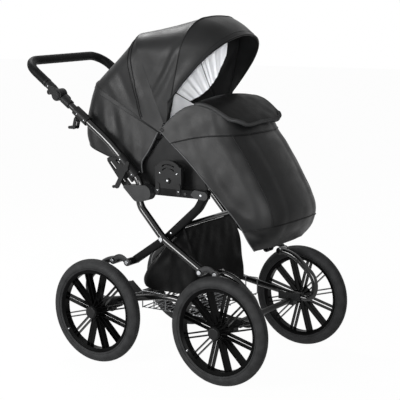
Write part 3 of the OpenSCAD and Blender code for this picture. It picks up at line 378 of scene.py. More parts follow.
def shell(name, outer, inner, mat):
    """A closed piece of two grids of rings, joined along the first ring and capped at the last."""
    rows, cols = outer.shape[:2]
    count = rows * cols
    faces = quads(rows, cols, loop=True) + quads(rows, cols, loop=True, start=count)
    faces += [(j, (j + 1) % cols, count + (j + 1) % cols, count + j) for j in range(cols)]
    faces += [tuple(start + j for j in range(cols)) for start in (count - cols, 2 * count - cols)]
    verts = np.concatenate([row(outer).reshape(-1, 3), row(inner).reshape(-1, 3)])
    return piece(name, verts, faces, mat)


def sweep(name, line, section, mat, closed=False, up=None):
    """A section of (side, up) offsets swept along a line in millimetres."""
    line = np.asarray(line, float)
    count = len(line)
    tangent = (np.roll(line, -1, axis=0) - np.roll(line, 1, axis=0)) if closed else np.gradient(line, axis=0)
    tangent /= np.maximum(np.linalg.norm(tangent, axis=1, keepdims=True), 1e-12)
    if up is None:
        up = (0.0, 1.0, 0.0) if abs(tangent[0][1]) < 0.9 else (0.0, 0.0, 1.0)
    seed = np.array(up, float)
    rings = []
    for k in range(count):
        seed = seed - tangent[k] * (seed @ tangent[k])
        seed /= np.linalg.norm(seed)
        side = np.cross(tangent[k], seed)
        shape = section(k) if callable(section) else section
        rings.append([line[k] + side * a + seed * b for a, b in shape])
    n = len(rings[0])
    faces = quads(count, n, loop=True)
    if closed:
        last = (count - 1) * n
        faces += [(last + j, last + (j + 1) % n, (j + 1) % n, j) for j in range(n)]
    else:
        faces += [tuple(range(n)), tuple((count - 1) * n + j for j in range(n))]
    return piece(name, row(np.array(rings)).reshape(-1, 3), faces, mat)


def disc(r, sides=16):
    angles = [2 * math.pi * k / sides for k in range(sides)]
    return [(r * math.cos(a), r * math.sin(a)) for a in angles]


def round_box(w, h, r, steps=4):
    """A rounded rectangle of half width w and half height h."""
    out = []
    for cx, cy, a in ((w - r, h - r, 0), (r - w, h - r, 90), (r - w, r - h, 180), (w - r, r - h, 270)):
        out += arc((cx, cy), r, a, 90, steps)
    return out


def pipe(name, line, r, mat="piping", count=None, closed=False):
    return sweep(name, resample(line, count) if count else line, disc(r, 10), mat, closed)


def turned(name, profile, at, mat, steps=40, side=1):
    """A closed loop of (y, r) points turned about an axis along Y through a point of the side view."""
    verts, faces, n = [], [], len(profile)
    for k in range(steps):
        a = 2 * math.pi * k / steps
        verts += [(at[0] + r * math.cos(a), side * y, at[1] + r * math.sin(a)) for y, r in profile]
        for j in range(n):
            b, c = (k + 1) % steps * n, (j + 1) % n
            faces.append((k * n + j, k * n + c, b + c, b + j))
    return piece(name, row(verts), faces, mat)


CORE = 0.05


def boss(name, at, y_low, y_high, r, mat, side=1, bevel=1.2):
    """A turned disc with softened edges."""
    soft = 0.35 * bevel
    low = [(y_low, CORE), (y_low, r - bevel), (y_low + soft, r - soft), (y_low + bevel, r)]
    high = [(y_high - bevel, r), (y_high - soft, r - soft), (y_high, r - bevel), (y_high, CORE)]
    return turned(name, low + high, at, mat, 32, side)


def dome(name, at, y, r, high, mat, side=1):
    """A domed rivet head standing on a face at y."""
    profile = [(y - 0.5, CORE), (y - 0.5, r)]
    profile += [(y + high * math.sin(t), max(CORE, r * math.cos(t))) for t in np.linspace(0, math.pi / 2, 7)]
    return turned(name, profile, at, mat, 24, side)


def folds(grid, strokes, inside):
    """Raises soft ridges or valleys along strokes, given for the right side and mirrored."""
    out = grid.copy()
    n = outward(grid, inside)
    flat = grid.reshape(-1, 3)
    for line, width, depth in strokes:
        for pts in (np.array(line, float), mirrored(line)):
            best = np.full(len(flat), 1e9)
            part = np.zeros(len(flat))
            for k in range(len(pts) - 1):
                d = pts[k + 1] - pts[k]
                t = np.clip(((flat - pts[k]) @ d) / (d @ d), 0, 1)
                gap = np.linalg.norm(flat - (pts[k] + t[:, None] * d), axis=1)
                near = gap < best
                best[near] = gap[near]
                part[near] = (k + t[near]) / (len(pts) - 1)
            lift = depth * np.exp(-((best / width) ** 2)) * np.sin(np.pi * (0.08 + 0.84 * part)) ** 0.6
            out += n * lift.reshape(grid.shape[:2])[..., None]
    return out


def ripple(grid, inside, depth, size, seed=0.0, loop=False):
    """Fine unevenness of soft material, in millimetres."""
    shift = Vector((seed, seed * 0.7, seed * 1.3))
    lift = [[noise.noise(Vector(p / size) + shift) for p in line] for line in grid]
    return inset(grid, inside, -depth * np.array(lift)[..., None], loop)


SIDES, TURNS, TOPS = 18, 12, 24


def wrap(a, b, foot_half, half, corner, crown, bulge=0.0):
    """A band of points along one side from a towards b, round the corner, over the front and back."""
    a, b = np.array(a, float), np.array(b, float)
    reach, angle, straight = float(np.linalg.norm(b - a)), heading(a, b), half - corner
    right = [(-mix(foot_half, half, k / SIDES), (reach - corner) * k / SIDES) for k in range(SIDES)]
    right += arc((-straight, reach - corner), corner, 180, -90, TURNS)
    across = np.linspace(-straight, straight, TOPS + 1)[1:-1]
    over = [(y, reach + crown * (1 - (y / straight) ** 2)) for y in across]
    out = []
    for y, u in right + over + [(-y, u) for y, u in right[::-1]]:
        q = polar(polar(a, angle, u), angle + 90, bulge * math.sin(math.pi * min(1, u / reach)))
        out.append((q[0], y, q[1]))
    return np.array(out, float)


def dress(obj, body, nodes=()):
    """Puts a rigid piece on a body and hides the CAD nodes that it stands for."""
    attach(obj, body)
    if nodes:
        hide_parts(*nodes)
    return obj


def hung_cloth(name, grid, thick, mat, inside):
    """A cloth of the seat unit, put on the seat body."""
    obj = dress(cloth(name, grid, thick, mat, inside), "seat")


make_camera()


# Stage
def seen(tree):
    """1 for rays from the camera, a glossy surface or glass, and 0 for the rest."""
    path = tree.nodes.new("ShaderNodeLightPath")
    out = path.outputs["Is Camera Ray"]
    for name in ("Is Glossy Ray", "Is Transmission Ray"):
        node = tree.nodes.new("ShaderNodeMath")
        node.operation = "MAXIMUM"
        tree.links.new(out, node.inputs[0])
        tree.links.new(path.outputs[name], node.inputs[1])
        out = node.outputs[0]
    return out


WORLD_LIGHT, FLOOR_GLOW, FLOOR_HALF = 0.3, 0.97, 14.0


def make_stage():
    scene = bpy.context.scene
    scene.view_settings.view_transform = "Standard"
    scene.world = bpy.data.worlds.new("world")
    scene.world.use_nodes = True
    tree = scene.world.node_tree
    back = tree.nodes["Background"]
    back.inputs["Color"].default_value = (1, 1, 1, 1)
    level = tree.nodes.new("ShaderNodeMapRange")
    level.inputs["To Min"].default_value = WORLD_LIGHT
    level.inputs["To Max"].default_value = 1.0
    tree.links.new(seen(tree), level.inputs["Value"])
    tree.links.new(level.outputs["Result"], back.inputs["Strength"])
    data = bpy.data.meshes.new("floor")
    square = [(x * FLOOR_HALF, y * FLOOR_HALF, 0) for x, y in ((-1, -1), (1, -1), (1, 1), (-1, 1))]
    data.from_pydata(square, [], [(0, 1, 2, 3)])
    floor = add_object("floor", data)
    p = Paint("floor_white", (0.86, 0.86, 0.86), 0.8)
    p.vary("Base Color", p.noise(3, 2), (0.85, 0.85, 0.85), (0.87, 0.87, 0.87))
    glow = p.tree.nodes.new("ShaderNodeEmission")
    blend = p.tree.nodes.new("ShaderNodeMixShader")
    share = p.tree.nodes.new("ShaderNodeMath")
    share.operation = "MULTIPLY"
    share.inputs[1].default_value = FLOOR_GLOW
    p.link(seen(p.tree), share.inputs[0])
    p.link(share.outputs[0], blend.inputs["Fac"])
    p.link(p.shader.outputs[0], blend.inputs[1])
    p.link(glow.outputs[0], blend.inputs[2])
    p.link(blend.outputs[0], p.tree.nodes["Material Output"].inputs["Surface"])
    data.materials.append(p.mat)


def make_lamp(name, kind, place, aim, **values):
    data = bpy.data.lights.new(name, kind)
    for key, value in values.items():
        setattr(data, key, value)
    lamp = add_object(name, data)
    lamp.location = place
    lamp.rotation_euler = (Vector(aim) - Vector(place)).to_track_quat("-Z", "Y").to_euler()


def make_light(name, place, size, power):
    make_lamp(name, "AREA", place, (0, 0, 0.6), shape="RECTANGLE", size=size[0], size_y=size[1], energy=power)


def make_spot(name, place, aim, cone, power):
    make_lamp(name, "SPOT", place, aim, spot_size=math.radians(cone), spot_blend=1.0, energy=power,
              shadow_soft_size=0.05)


make_stage()
make_light("key", (-1.3, -3.4, 1.2), (1.5, 1.2), 150)
make_light("top", (-1.7, 0.8, 3.0), (1.1, 1.1), 50)
make_light("fill", (2.7, -4.2, 1.5), (2.4, 1.8), 190)
make_spot("lining", (2.1 + SHIFT, -3.1, 1.3), (-0.10 + SHIFT, 0.16, 0.95), 7.5, 250)


# CAD nodes that stay, and their finishes. The other nodes are replaced further down.
HANDS = {-1: "right", 1: "left"}
WHEELS = [(end, hand) for end in ("front", "rear") for hand in HANDS.values()]
CAD_FINISH = {
    "satin": ["front_axle", "rear_axle", "brake_bar", "seat_frame", "inner_tubes"],
    "bar": ["seat_rails"],
    "steel": ["strap_rivets", "foot_rivets", "rear_foot_rivets", "cross_axle"],
    "wire": ["wire_tray"],
    "plastic": ["axle_brackets", "lock_brackets", "handle_clamps", "seat_plates", "knuckle_bases",
                "handle_tube", "hood_pivots", "hood_bow_rear", "hood_bow_mid", "hood_bow_front", "seat_board",
                "backrest", "footrest"]
               + [f"{part}_{h}" for part in ("lock_lever", "clamp_lever", "button") for h in HANDS.values()]
               + [f"hub_set_{e}_{h}" for e, h in WHEELS],
    "grey_plastic": ["lock_housings", "rail_ends"],
    "rim": [f"rim_{e}_{h}" for e, h in WHEELS],
}
for look, names in CAD_FINISH.items():
    for name in names:
        NODES[name].data.materials.clear()
        NODES[name].data.materials.append(MATS[look])


# Wheels: round tyres with fine tread lines and a bead line by the rim
AXLE_X, AXLE_Z, TRACK_HALF, WHEEL_R, TYRE_R = 250.0, 180.0, 270.5, 180.0, 22.0
BEAD_AT, BEAD_LINE_UP, TREAD_AT = -39.0, 19.0, (5, 13, 21, 29)
TREAD_LINE, BEAD_LINE = (0.7, 0.9), (1.4, 1.6)  # half width in degrees and depth
VALVE_AT, VALVE_LOW, VALVE_HIGH, VALVE_R = (214, 137), 13.0, 21.0, 3.2


def tyre_profile():
    """(y, r) points of the tyre's section, from one bead over the tread to the other."""
    lines = [(90 + s * a, *TREAD_LINE) for a in TREAD_AT for s in (-1, 1)]
    lines += [(a, *BEAD_LINE) for a in (BEAD_AT + BEAD_LINE_UP, 180 - BEAD_AT - BEAD_LINE_UP)]
    stops = {round(a, 2): 0.0 for a in np.linspace(BEAD_AT, 180 - BEAD_AT, 45)}
    for middle, half, deep in lines:
        stops = {a: d for a, d in stops.items() if abs(a - middle) > half + 0.8}
        for offset, share in ((-half - 0.7, 0), (-half, 1), (half, 1), (half + 0.7, 0)):
            stops[round(middle + offset, 2)] = deep * share
    out = []
    for a, deep in sorted(stops.items()):
        r = TYRE_R - deep
        out.append((r * math.cos(math.radians(a)), WHEEL_R - TYRE_R + r * math.sin(math.radians(a))))
    return out


TYRE = tyre_profile()
for end, hand in WHEELS:
    side = -1 if hand == "right" else 1
    at = (AXLE_X if end == "front" else -AXLE_X, AXLE_Z)
    tyre = turned(f"tyre_{end}_{hand}_tread", [(TRACK_HALF + y, r) for y, r in TYRE], at, "rubber", 96, side)
    body = f"wheel_{end}_{hand}"
    dress(tyre, body, [f"tyre_{end}_{hand}"])
    low, high = TRACK_HALF + VALVE_LOW, TRACK_HALF + VALVE_HIGH
    valve = boss(f"valve_{end}_{hand}", polar(at, *VALVE_AT), low, high, VALVE_R, "steel", side)
    dress(valve, body)


# Base rails, crossed legs and their bosses
BASE_Y, OUTER_Y, INNER_Y, STRAP_Y, STRAP_T = 195.0, 209.0, 181.0, 222.4, 8.0
RAIL_R, LEG_R, EYE_R = 11.0, 13.0, 13.0
TIP, FRONT_FOOT, PIVOT = (209.0, 352.0), (148.0, 352.0), (-7.0, 446.0)
FRONT_HALF = [TIP, (262, 345), (352, 262), (336, 187)]
BASE_PATH = FRONT_HALF + [(0, 246)] + [(-x, z) for x, z in FRONT_HALF[::-1]]
BASE_BENDS = [120, 66, 36, 300, 36, 66, 120]
LOCK_HIGH, BACK_SLOPE, UPPER_BEND, HANDLE_SLOPE = (-92.0, 624.0), 134.0, (-215.0, 751.3), 144.5
OUTER_PATH = [FRONT_FOOT, PIVOT, (-105.4, 555.2), LOCK_HIGH, UPPER_BEND, polar(UPPER_BEND, HANDLE_SLOPE, 178)]
OUTER_BENDS = [150, 56, 56, 500]
INNER_PATH = [(148, 604), (118.6, 555.0), PIVOT, (-148, 352)]
INNER_BENDS = [80, 150]


def both(make):
    return [make(side) for side in HANDS]


def base_rail(side):
    tube = sweep("rail", at_side(rounded(BASE_PATH, BASE_BENDS), side * BASE_Y), disc(RAIL_R, 24), "tube")
    eyes = [boss("eye", (s * TIP[0], TIP[1]), BASE_Y - RAIL_R, STRAP_Y - 0.5, EYE_R, "tube", side)
            for s in (-1, 1)]
    return joined("rail", [tube] + eyes)


def outer_leg(side):
    tube = sweep("leg", at_side(rounded(OUTER_PATH, OUTER_BENDS), side * OUTER_Y), disc(LEG_R, 24), "tube")
    eye = boss("eye", FRONT_FOOT, OUTER_Y - LEG_R, STRAP_Y - 0.5, EYE_R, "tube", side)
    return joined("leg", [tube, eye])


def inner_leg(side):
    line = at_side(rounded(INNER_PATH, INNER_BENDS), side * INNER_Y)
    tube = sweep("leg", line, round_box(LEG_R, LEG_R, 5), "bar")
    eye = boss("eye", (-FRONT_FOOT[0], FRONT_FOOT[1]), INNER_Y - LEG_R, STRAP_Y - 0.5, EYE_R, "tube", side)
    end = boss("end", INNER_PATH[0], INNER_Y - LEG_R, INNER_Y + LEG_R, LEG_R, "tube", side)
    rivets = [dome("rivet", p, INNER_Y + LEG_R, 4.0, 2.0, "steel", side)
              for p in (mix(PIVOT, INNER_PATH[1], 0.16), mix(PIVOT, INNER_PATH[3], 0.16))]
    return joined("leg", [tube, eye, end] + rivets)


dress(joined("base_rail_tubes", both(base_rail)), "base", ["base_rails"])
dress(joined("outer_leg_tubes", both(outer_leg)), "outer_frame", ["outer_legs"])
BRACE, BRACE_HALF, BRACE_R = (36.9, 484.2), 178.0, 8.0
brace = boss("brace", BRACE, -BRACE_HALF, BRACE_HALF, BRACE_R, "tube")
dress(joined("inner_leg_bars", both(inner_leg) + [brace]), "inner_frame", ["inner_legs"])


# Leather suspension straps, arched between the feet and the spring tips
STRAP_ARCH, STRAP_HALF, STRAP_ROUND, STITCH_UP, STITCH_R = 16.0, 9.2, 2.2, 6.6, 0.7


def strap(side, end):
    y = STRAP_Y + STRAP_T / 2
    arch = []
    for t in np.linspace(0, 1, 25):
        x, z = mix(FRONT_FOOT, TIP, t)
        arch.append((end * x, z + STRAP_ARCH * math.sin(math.pi * t)))
    band = sweep("band", at_side(arch, side * y), round_box(STRAP_HALF, STRAP_T / 2, STRAP_ROUND), "strap")
    eyes = [boss("eye", (end * p[0], p[1]), STRAP_Y, STRAP_Y + STRAP_T, EYE_R, "strap", side, 2.0)
            for p in (FRONT_FOOT, TIP)]
    edges = []
    for up in (-STITCH_UP, STITCH_UP):
        stitch = [(x, z + up) for x, z in arch[3:-3]]
        edges.append(pipe("stitch", at_side(stitch, side * (y + STRAP_T / 2 - 0.1)), STITCH_R))
    return joined("strap", [band] + eyes + edges)


for end, name in ((1, "front"), (-1, "rear")):
    straps = joined(f"{name}_suspension_straps", [strap(-1, end), strap(1, end)])
    dress(straps, "base", ["suspension_straps"])
    anchor = row([end * TIP[0], 0, TIP[1]])
    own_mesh(straps)


# Handle grip and bumper bar, bent to a U
def along(at, slope, spots):
    """Points at (reach, y) from a point of the side view along a slope."""
    return np.array([(*polar(at, slope, u), y) for u, y in spots])[:, [0, 2, 1]]


def u_line(at, slope, half, reach, bend, start):
    """Points of a U whose arms leave a point of the side view at a slope."""
    flat = [(start, -half)] + arc((reach - bend, bend - half), bend, -90, 90, 18)
    flat += [(u, -y) for u, y in flat[::-1]]
    return along(at, slope, flat)


KNUCKLE, ARM = (-437.2, 909.8), 144.0
GRIP_REACH, GRIP_BEND, GRIP_START, GRIP_R, GRIP_POINTS = 190.0, 62.0, 64.0, 16.0, 150
SLEEVE, SLEEVE_R = (27.0, 65.0), 15.2
line = resample(u_line(KNUCKLE, ARM, OUTER_Y, GRIP_REACH, GRIP_BEND, GRIP_START), GRIP_POINTS)


def grip_ring(k):
    near = min(k, GRIP_POINTS - 1 - k)
    return disc(GRIP_R - 2.2 * math.exp(-near / 0.9) + 0.12 * math.sin(k * 0.9), 28)


def below(slope, depth):
    """The offset from a bar's middle to the seam on its lower face."""
    x, z = polar((0, 0), slope, -depth)
    return np.array([x, 0, z])


grip = sweep("grip", line, grip_ring, "grip")
low = below(ARM - 90, GRIP_R - 0.3)
seam = pipe("seam", line + low, 1.0, "piping")
stitches = [sweep("stitch", line[k:k + 2] + low * 1.02, disc(0.9, 6), "strap")
            for k in range(4, GRIP_POINTS - 4, 2)]
rings = [sweep("ring", stretch, disc(GRIP_R + 0.4, 28), "plastic") for stretch in (line[:3], line[-3:])]
grip = joined("handle_grip_leather", [grip, seam] + stitches + rings)
dress(grip, "handle", ["handle_grip"])


def sleeve(side):
    """The moulded sleeve of a handle arm between its joint and the grip."""
    line = along(KNUCKLE, ARM, [(u, side * OUTER_Y) for u in np.linspace(*SLEEVE, 20)])
    ends = {0: 2.0, 1: 0.5, 18: 0.5, 19: 2.0}
    return sweep("sleeve", line, lambda k: disc(SLEEVE_R - ends.get(k, 0.0), 28), "plastic")


dress(joined("handle_sleeves", both(sleeve)), "handle")

BUMPER_AT, BUMPER_SLOPE, BUMPER_R = (12.0, 766.0), 20.0, 10.0
BUMPER_HALF, BUMPER_REACH, BUMPER_BEND = 137.6, 196.0, 60.0
line = resample(u_line(BUMPER_AT, BUMPER_SLOPE, BUMPER_HALF, BUMPER_REACH, BUMPER_BEND, 0), 120)
bar = sweep("bar", line, lambda k: disc(BUMPER_R + 0.15 * math.sin(k * 0.8), 20), "grip")
seam = pipe("seam", line + below(BUMPER_SLOPE + 90, BUMPER_R - 0.2), 0.9, "piping")
pins = [boss("pin", BUMPER_AT, 137, 156, 4, "plastic", side) for side in HANDS]
bumper = joined("bumper_bar_cover", [bar, seam] + pins)
dress(bumper, "seat", ["bumper_bar"])


# Basket bag: a lofted shell that hangs from the front tube and the crossing
BAG_LOW, BAG_FRONT_TOP, BAG_REAR_TOP = 250.0, 475.8, 446.0
BAG_FRONT_X, BAG_REAR_X, BAG_HALF = (98.0, 42.9), (-126.0, 7.0), (163.0, 160.0)
BAG_FRONT_BULGE, BAG_REAR_BULGE, BAG_T = 14.0, 50.0, 3.0
BAG_ROWS, BAG_COLUMNS, INSIDE_BAG = 30, 120, np.array([-14.0, 0.0, 330.0])
BAG_FOLDS = [([(-20, -163, 430), (-62, -166, 360), (-92, -166, 275)], 14, 6.0),
             ([(-10, -163, 425), (-22, -166, 350), (-28, -166, 262)], 13, -6.0),
             ([(0, -163, 420), (18, -166, 350), (40, -166, 270)], 14, 5.0),
             ([(-60, -163, 400), (-105, -160, 340), (-130, -150, 280)], 12, -5.0)]


def bag_ring(t):
    """A ring of the bag's wall, from the floor at 0 to the hem at 1."""
    front, rear = mix(*BAG_FRONT_X, t), mix(*BAG_REAR_X, t)
    half, corner = mix(*BAG_HALF, t), 34 * (1 - t) + 8
    back = rear - BAG_REAR_BULGE * math.sin(math.pi * t ** 0.6) + corner
    ahead = front + BAG_FRONT_BULGE * math.sin(math.pi * t) - corner
    side = half - corner
    pts = []
    for cx, cy, a, top in ((ahead, side, 0, BAG_FRONT_TOP), (back, side, 90, BAG_REAR_TOP),
                           (back, -side, 180, BAG_REAR_TOP), (ahead, -side, 270, BAG_FRONT_TOP)):
        pts += [(x, y, mix(BAG_LOW, top, t)) for x, y in arc((cx, cy), corner, a, 90, 8)]
    return resample(pts + pts[:1], BAG_COLUMNS + 1)[:-1]


def bag():
    levels = np.linspace(1, 0, BAG_ROWS)
    walls = np.array([bag_ring(t) for t in levels])
    walls = ripple(folds(walls, BAG_FOLDS, INSIDE_BAG), INSIDE_BAG, 3.0, 46, 2.0, loop=True)
    t = levels[:, None]
    pull = np.sin(np.pi * t) ** 0.8
    angle = np.linspace(0, 2 * np.pi, BAG_COLUMNS, endpoint=False)[None, :]
    fan = 2.6 * np.sin(9 * angle + 3 * t) * (0.35 + 0.65 * t) + 1.6 * np.sin(17 * angle - 5 * t) * t
    walls = inset(walls, INSIDE_BAG, (2.0 + fan * pull + 3.0 * pull)[..., None], loop=True)
    floor = []
    centre = np.array([*INSIDE_BAG[:2], BAG_LOW])
    for s in (0.92, 0.75, 0.5, 0.25, 0.06):
        ring = centre + (walls[-1] - centre) * s
        ring[:, 2] = BAG_LOW - 1.5 * (1 - s)
        floor.append(ring)
    outer = np.concatenate([walls, floor])
    inner = inset(outer, INSIDE_BAG, BAG_T, loop=True)
    inner[len(walls):, :, 2] = BAG_LOW + 2.5
    body = shell("basket_bag_cloth", outer, inner, "bag")
    hem = pipe("bag_hem", outer[0] - np.array([0, 0, 1.0]), 2.6, "bag", closed=True)
    return body, hem, np.concatenate([outer, outer[:, :1]], axis=1)


bag_body, hem, grid = bag()
for obj in (bag_body, hem):
    dress(obj, "base", ["basket_bag"] if obj is bag_body else ())
    tuple(row([0, 0, BAG_LOW]))
    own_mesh(obj)


# Hood: fabric over three bows, with a white pleated lining and a visor
HINGE = np.array([-10.0, 806.0])
BOWS = {"rear": (155.4, 345.0, 167.0, 58.0), "mid": (112.8, 332.0, 171.0, 58.0),
        "front": (76.4, 366.0, 175.0, 115.0)}
HOOD_UP, HOOD_T, HOOD_FOOT, HOOD_HIGH = 8.2, 3.0, 24.0, 368.0
INSIDE_HOOD = (-60.0, 0.0, 930.0)
HEM_REACH, HEM_DROP, HEM_OUT = 354.0, 22.0, 6.0


def bow_line(name, up, turn=0.0):
    angle, reach, half, corner = BOWS[name]
    angle += turn
    start, end = polar(HINGE, angle, HOOD_FOOT), polar(HINGE, angle, reach + up)
    return wrap(start, end, half + up, half + up, corner + up, 3)


def hood_span(low, high, steps, dip=4.0):
    rows = []
    for t in np.linspace(0, 1, steps):
        p = mix(low, high, t)
        p[:, 2] -= dip * math.sin(math.pi * t) * np.maximum(0, (p[:, 2] - HINGE[1]) / HOOD_HIGH)
        rows.append(p)
    return np.array(rows)


def hem_line(up, turn=0.0):
    """The rear panel's lower edge, which hangs below its bow and stands out over the cover near the hinge."""
    p = bow_line("rear", up, turn)
    share = np.clip(1 - np.hypot(p[:, 0] - HINGE[0], p[:, 2] - HINGE[1]) / HEM_REACH, 0, 1)
    p[:, 1] += np.sign(p[:, 1]) * HEM_OUT * share
    p[:, 2] -= HEM_DROP * share
    return p


def bow_point(name, length=300.0):
    x, z = polar(HINGE, BOWS[name][0], length)
    return tuple(row([x, 0, z]))


def hood_part(obj, low, high):
    """Bakes the placement of a piece of the hood, which lies between two bows, into its mesh."""
    bow_point(low)
    bow_point(high)
    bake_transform(obj)


REAR_FOLDS = [([(-150, -178, 880), (-190, -178, 960), (-215, -172, 1010)], 15, -2.6),
              ([(-200, -176, 890), (-236, -176, 940), (-262, -170, 985)], 13, 2.0),
              ([(-90, -178, 850), (-140, -178, 960), (-165, -174, 1040)], 16, 1.8)]
FRONT_FOLDS = [([(45, -181, 1078), (-9, -181, 986), (-72, -181, 902), (-98, -180, 861)], 13, 4.0),
               ([(28, -182, 1085), (-30, -182, 990), (-84, -182, 910)], 13, -3.0),
               ([(70, -182, 1070), (20, -182, 990), (-30, -182, 900)], 16, -2.0)]
HOOD_ROWS = 34
rear = hood_span(hem_line(HOOD_UP), bow_line("mid", HOOD_UP), HOOD_ROWS)
rear = ripple(folds(rear, REAR_FOLDS, INSIDE_HOOD), INSIDE_HOOD, 1.0, 60, 5.0)
front = hood_span(bow_line("mid", HOOD_UP), bow_line("front", HOOD_UP), HOOD_ROWS)
front = ripple(folds(front, FRONT_FOLDS, INSIDE_HOOD), INSIDE_HOOD, 1.0, 60, 9.0)
for name, grid, low, high in (("rear", rear, "rear", "mid"), ("front", front, "mid", "front")):
    panel = cloth(f"hood_{name}_cloth", grid, HOOD_T, "leatherette", INSIDE_HOOD)
    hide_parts(f"hood_panel_{name}")
    hood_part(panel, low, high)


# Lining: white above and behind a line across the hood's inner sides
LINING_UP, LINING_IN, LINING_T, LINING_SEAM_LOW = -5.0, 3.9, 1.2, 890.0
LINING_ROWS, LINING_COLUMNS = 72, 90
LINING_EDGE = [(30, 1400), (24, 1110), (18, 1079), (11, 1036), (-8, 997), (-37, 945), (-67, 911), (-100, 887),
               (-176, 852), (-330, 840)]


def above(line, xs, zs):
    """The stretch of a line over the lining's edge, cut exactly where it crosses."""
    rise = line[:, 2] - np.interp(line[:, 0], xs, zs)
    inside = np.flatnonzero(rise > 0)
    if len(inside) < 4:
        return None
    ends = []
    for k, out in ((inside[0], inside[0] - 1), (inside[-1], inside[-1] + 1)):
        if 0 <= out < len(line):
            ends.append(mix(line[k], line[out], rise[k] / (rise[k] - rise[out])))
        else:
            ends.append(line[k])
    return np.concatenate([ends[:1], line[inside], ends[1:]])


def lining(low, high, start, stop, seed):
    """Rows of the lining from bow to bow, gathered in soft uneven pleats."""
    xs, zs = zip(*sorted(LINING_EDGE))
    rows = []
    for t in np.linspace(start, stop, LINING_ROWS):
        keep = above(mix(bow_line(low, LINING_UP), bow_line(high, LINING_UP), t), xs, zs)
        if keep is None:
            break
        rows.append(resample(keep, LINING_COLUMNS))
    grid = np.array(rows)
    t = np.linspace(0, 1, len(grid))[:, None]
    u = np.linspace(-1, 1, grid.shape[1])[None, :]
    slack = np.abs(u) ** 1.5
    wave = np.sin(2 * np.pi * (3.2 * t + 0.25 * np.sin(5.1 * t + seed) + 0.12 * u))
    fine = np.sin(2 * np.pi * (6.7 * t + 0.4 * u + seed))
    depth = (2.4 * wave + 1.0 * fine) * (0.2 + 0.8 * slack) * np.sin(np.pi * t) ** 0.4
    return inset(grid, INSIDE_HOOD, (LINING_IN - depth)[..., None])


for name, low, high, start, stop in (("rear", "rear", "mid", 0.02, 0.995),
                                     ("front", "mid", "front", 0.005, 0.97)):
    grid = lining(low, high, start, stop, len(name))
    sheet = cloth(f"hood_{name}_lining", grid, LINING_T, "lining", INSIDE_HOOD)
    hood_part(sheet, low, high)
fold_line = bow_line("mid", LINING_UP - 5.4)
fold_line = fold_line[fold_line[:, 2] > LINING_SEAM_LOW]
dress(pipe("hood_lining_seam", fold_line, 1.3, "piping", 120), "hood_mid")


# Visor, its binding, and the piped seams of the hood
VISOR_FOOT, VISOR_PEAK, VISOR_HALF, VISOR_CROWN = HINGE + [17, 90], HINGE + [206, 304], 188.0, 8.0
VISOR_EDGE_UP = 5.2


def visor_grid(up, steps):
    """Rows of the visor from the front bow to its free edge, for a skin that lies up over the bow."""
    rise = up - VISOR_EDGE_UP
    base = resample(bow_line("front", up)[2:-2], 90) + np.array([0.4, 0, 0])
    run = run_along(base)
    edge = []
    for f in np.pi * run / run[-1]:
        x, z = mix(VISOR_FOOT, VISOR_PEAK, abs(math.sin(f)) ** 0.65)
        edge.append((x + rise * 0.3, -(VISOR_HALF + rise) * math.cos(f), z + rise))
    rows = []
    for t in np.linspace(0, 1, steps):
        p = mix(base, edge, t)
        p[:, 2] += VISOR_CROWN * math.sin(math.pi * t)
        rows.append(p)
    return np.array(rows)


INSIDE_VISOR = (60.0, 0.0, 980.0)
grid = ripple(visor_grid(HOOD_UP, 24), INSIDE_VISOR, 0.8, 50, 3.0)
visor = cloth("hood_visor_cloth", grid, HOOD_T, "leatherette", INSIDE_VISOR)
edge = inset(grid, INSIDE_VISOR, HOOD_T / 2)[-1]
binding = pipe("visor_binding", edge, 3.4, "leatherette_dark")
inner_edge = inset(grid, INSIDE_VISOR, 0.2)[-4]
stitch_line = pipe("visor_seam", inner_edge, 1.1, "piping")
dress(visor, "hood_front", ["hood_visor"])
dress(binding, "hood_front")
dress(stitch_line, "hood_front")

for name, body, edge in (("front", "hood_front", bow_line("front", HOOD_UP + 0.7)),
                         ("rear", "seat", hem_line(HOOD_UP + 0.7, 2.7))):
    dress(pipe(f"hood_{name}_piping_0", edge, 1.8, "piping", 160), body)


# The double seam by the middle bow leaves the rear hem away from the hinge and nears the bow at the top
SEAM_REACH, SEAM_SHARE = [84, 144, 202, 254, 293, 319], [0.0, 0.44, 0.66, 0.78, 0.89, 0.985]
SEAM_GAP = 0.08


def seam_line(grid, back):
    """A line over the rear panel, from side to side, set back by a share of the panel's width."""
    line, last = [], len(grid) - 1
    skin = outward(grid, INSIDE_HOOD) * 0.7
    for j, p in enumerate(grid[last // 2]):
        reach = math.hypot(p[0] - HINGE[0], p[2] - HINGE[1])
        share = np.interp(reach, SEAM_REACH, SEAM_SHARE) - back
        if reach > SEAM_REACH[0] and share > 0:
            k, part = divmod(share * last, 1)
            k = int(k)
            line.append(mix(grid[k, j] + skin[k, j], grid[k + 1, j] + skin[k + 1, j], part))
    return np.array(line)


for k, back in enumerate((SEAM_GAP, 0.0)):
    piping = pipe(f"hood_mid_piping_{k}", seam_line(rear, back), 1.8, "piping", 160)
    hood_part(piping, "rear", "mid")
upper, lower = hem_line(HOOD_UP + 0.8, -0.6), hem_line(HOOD_UP + 3.4, 2.6)
hem = np.array([mix(upper, lower, t) for t in np.linspace(0, 1, 6)])
hung_cloth("hood_rear_hem", hem, 2.0, "leatherette", INSIDE_HOOD)


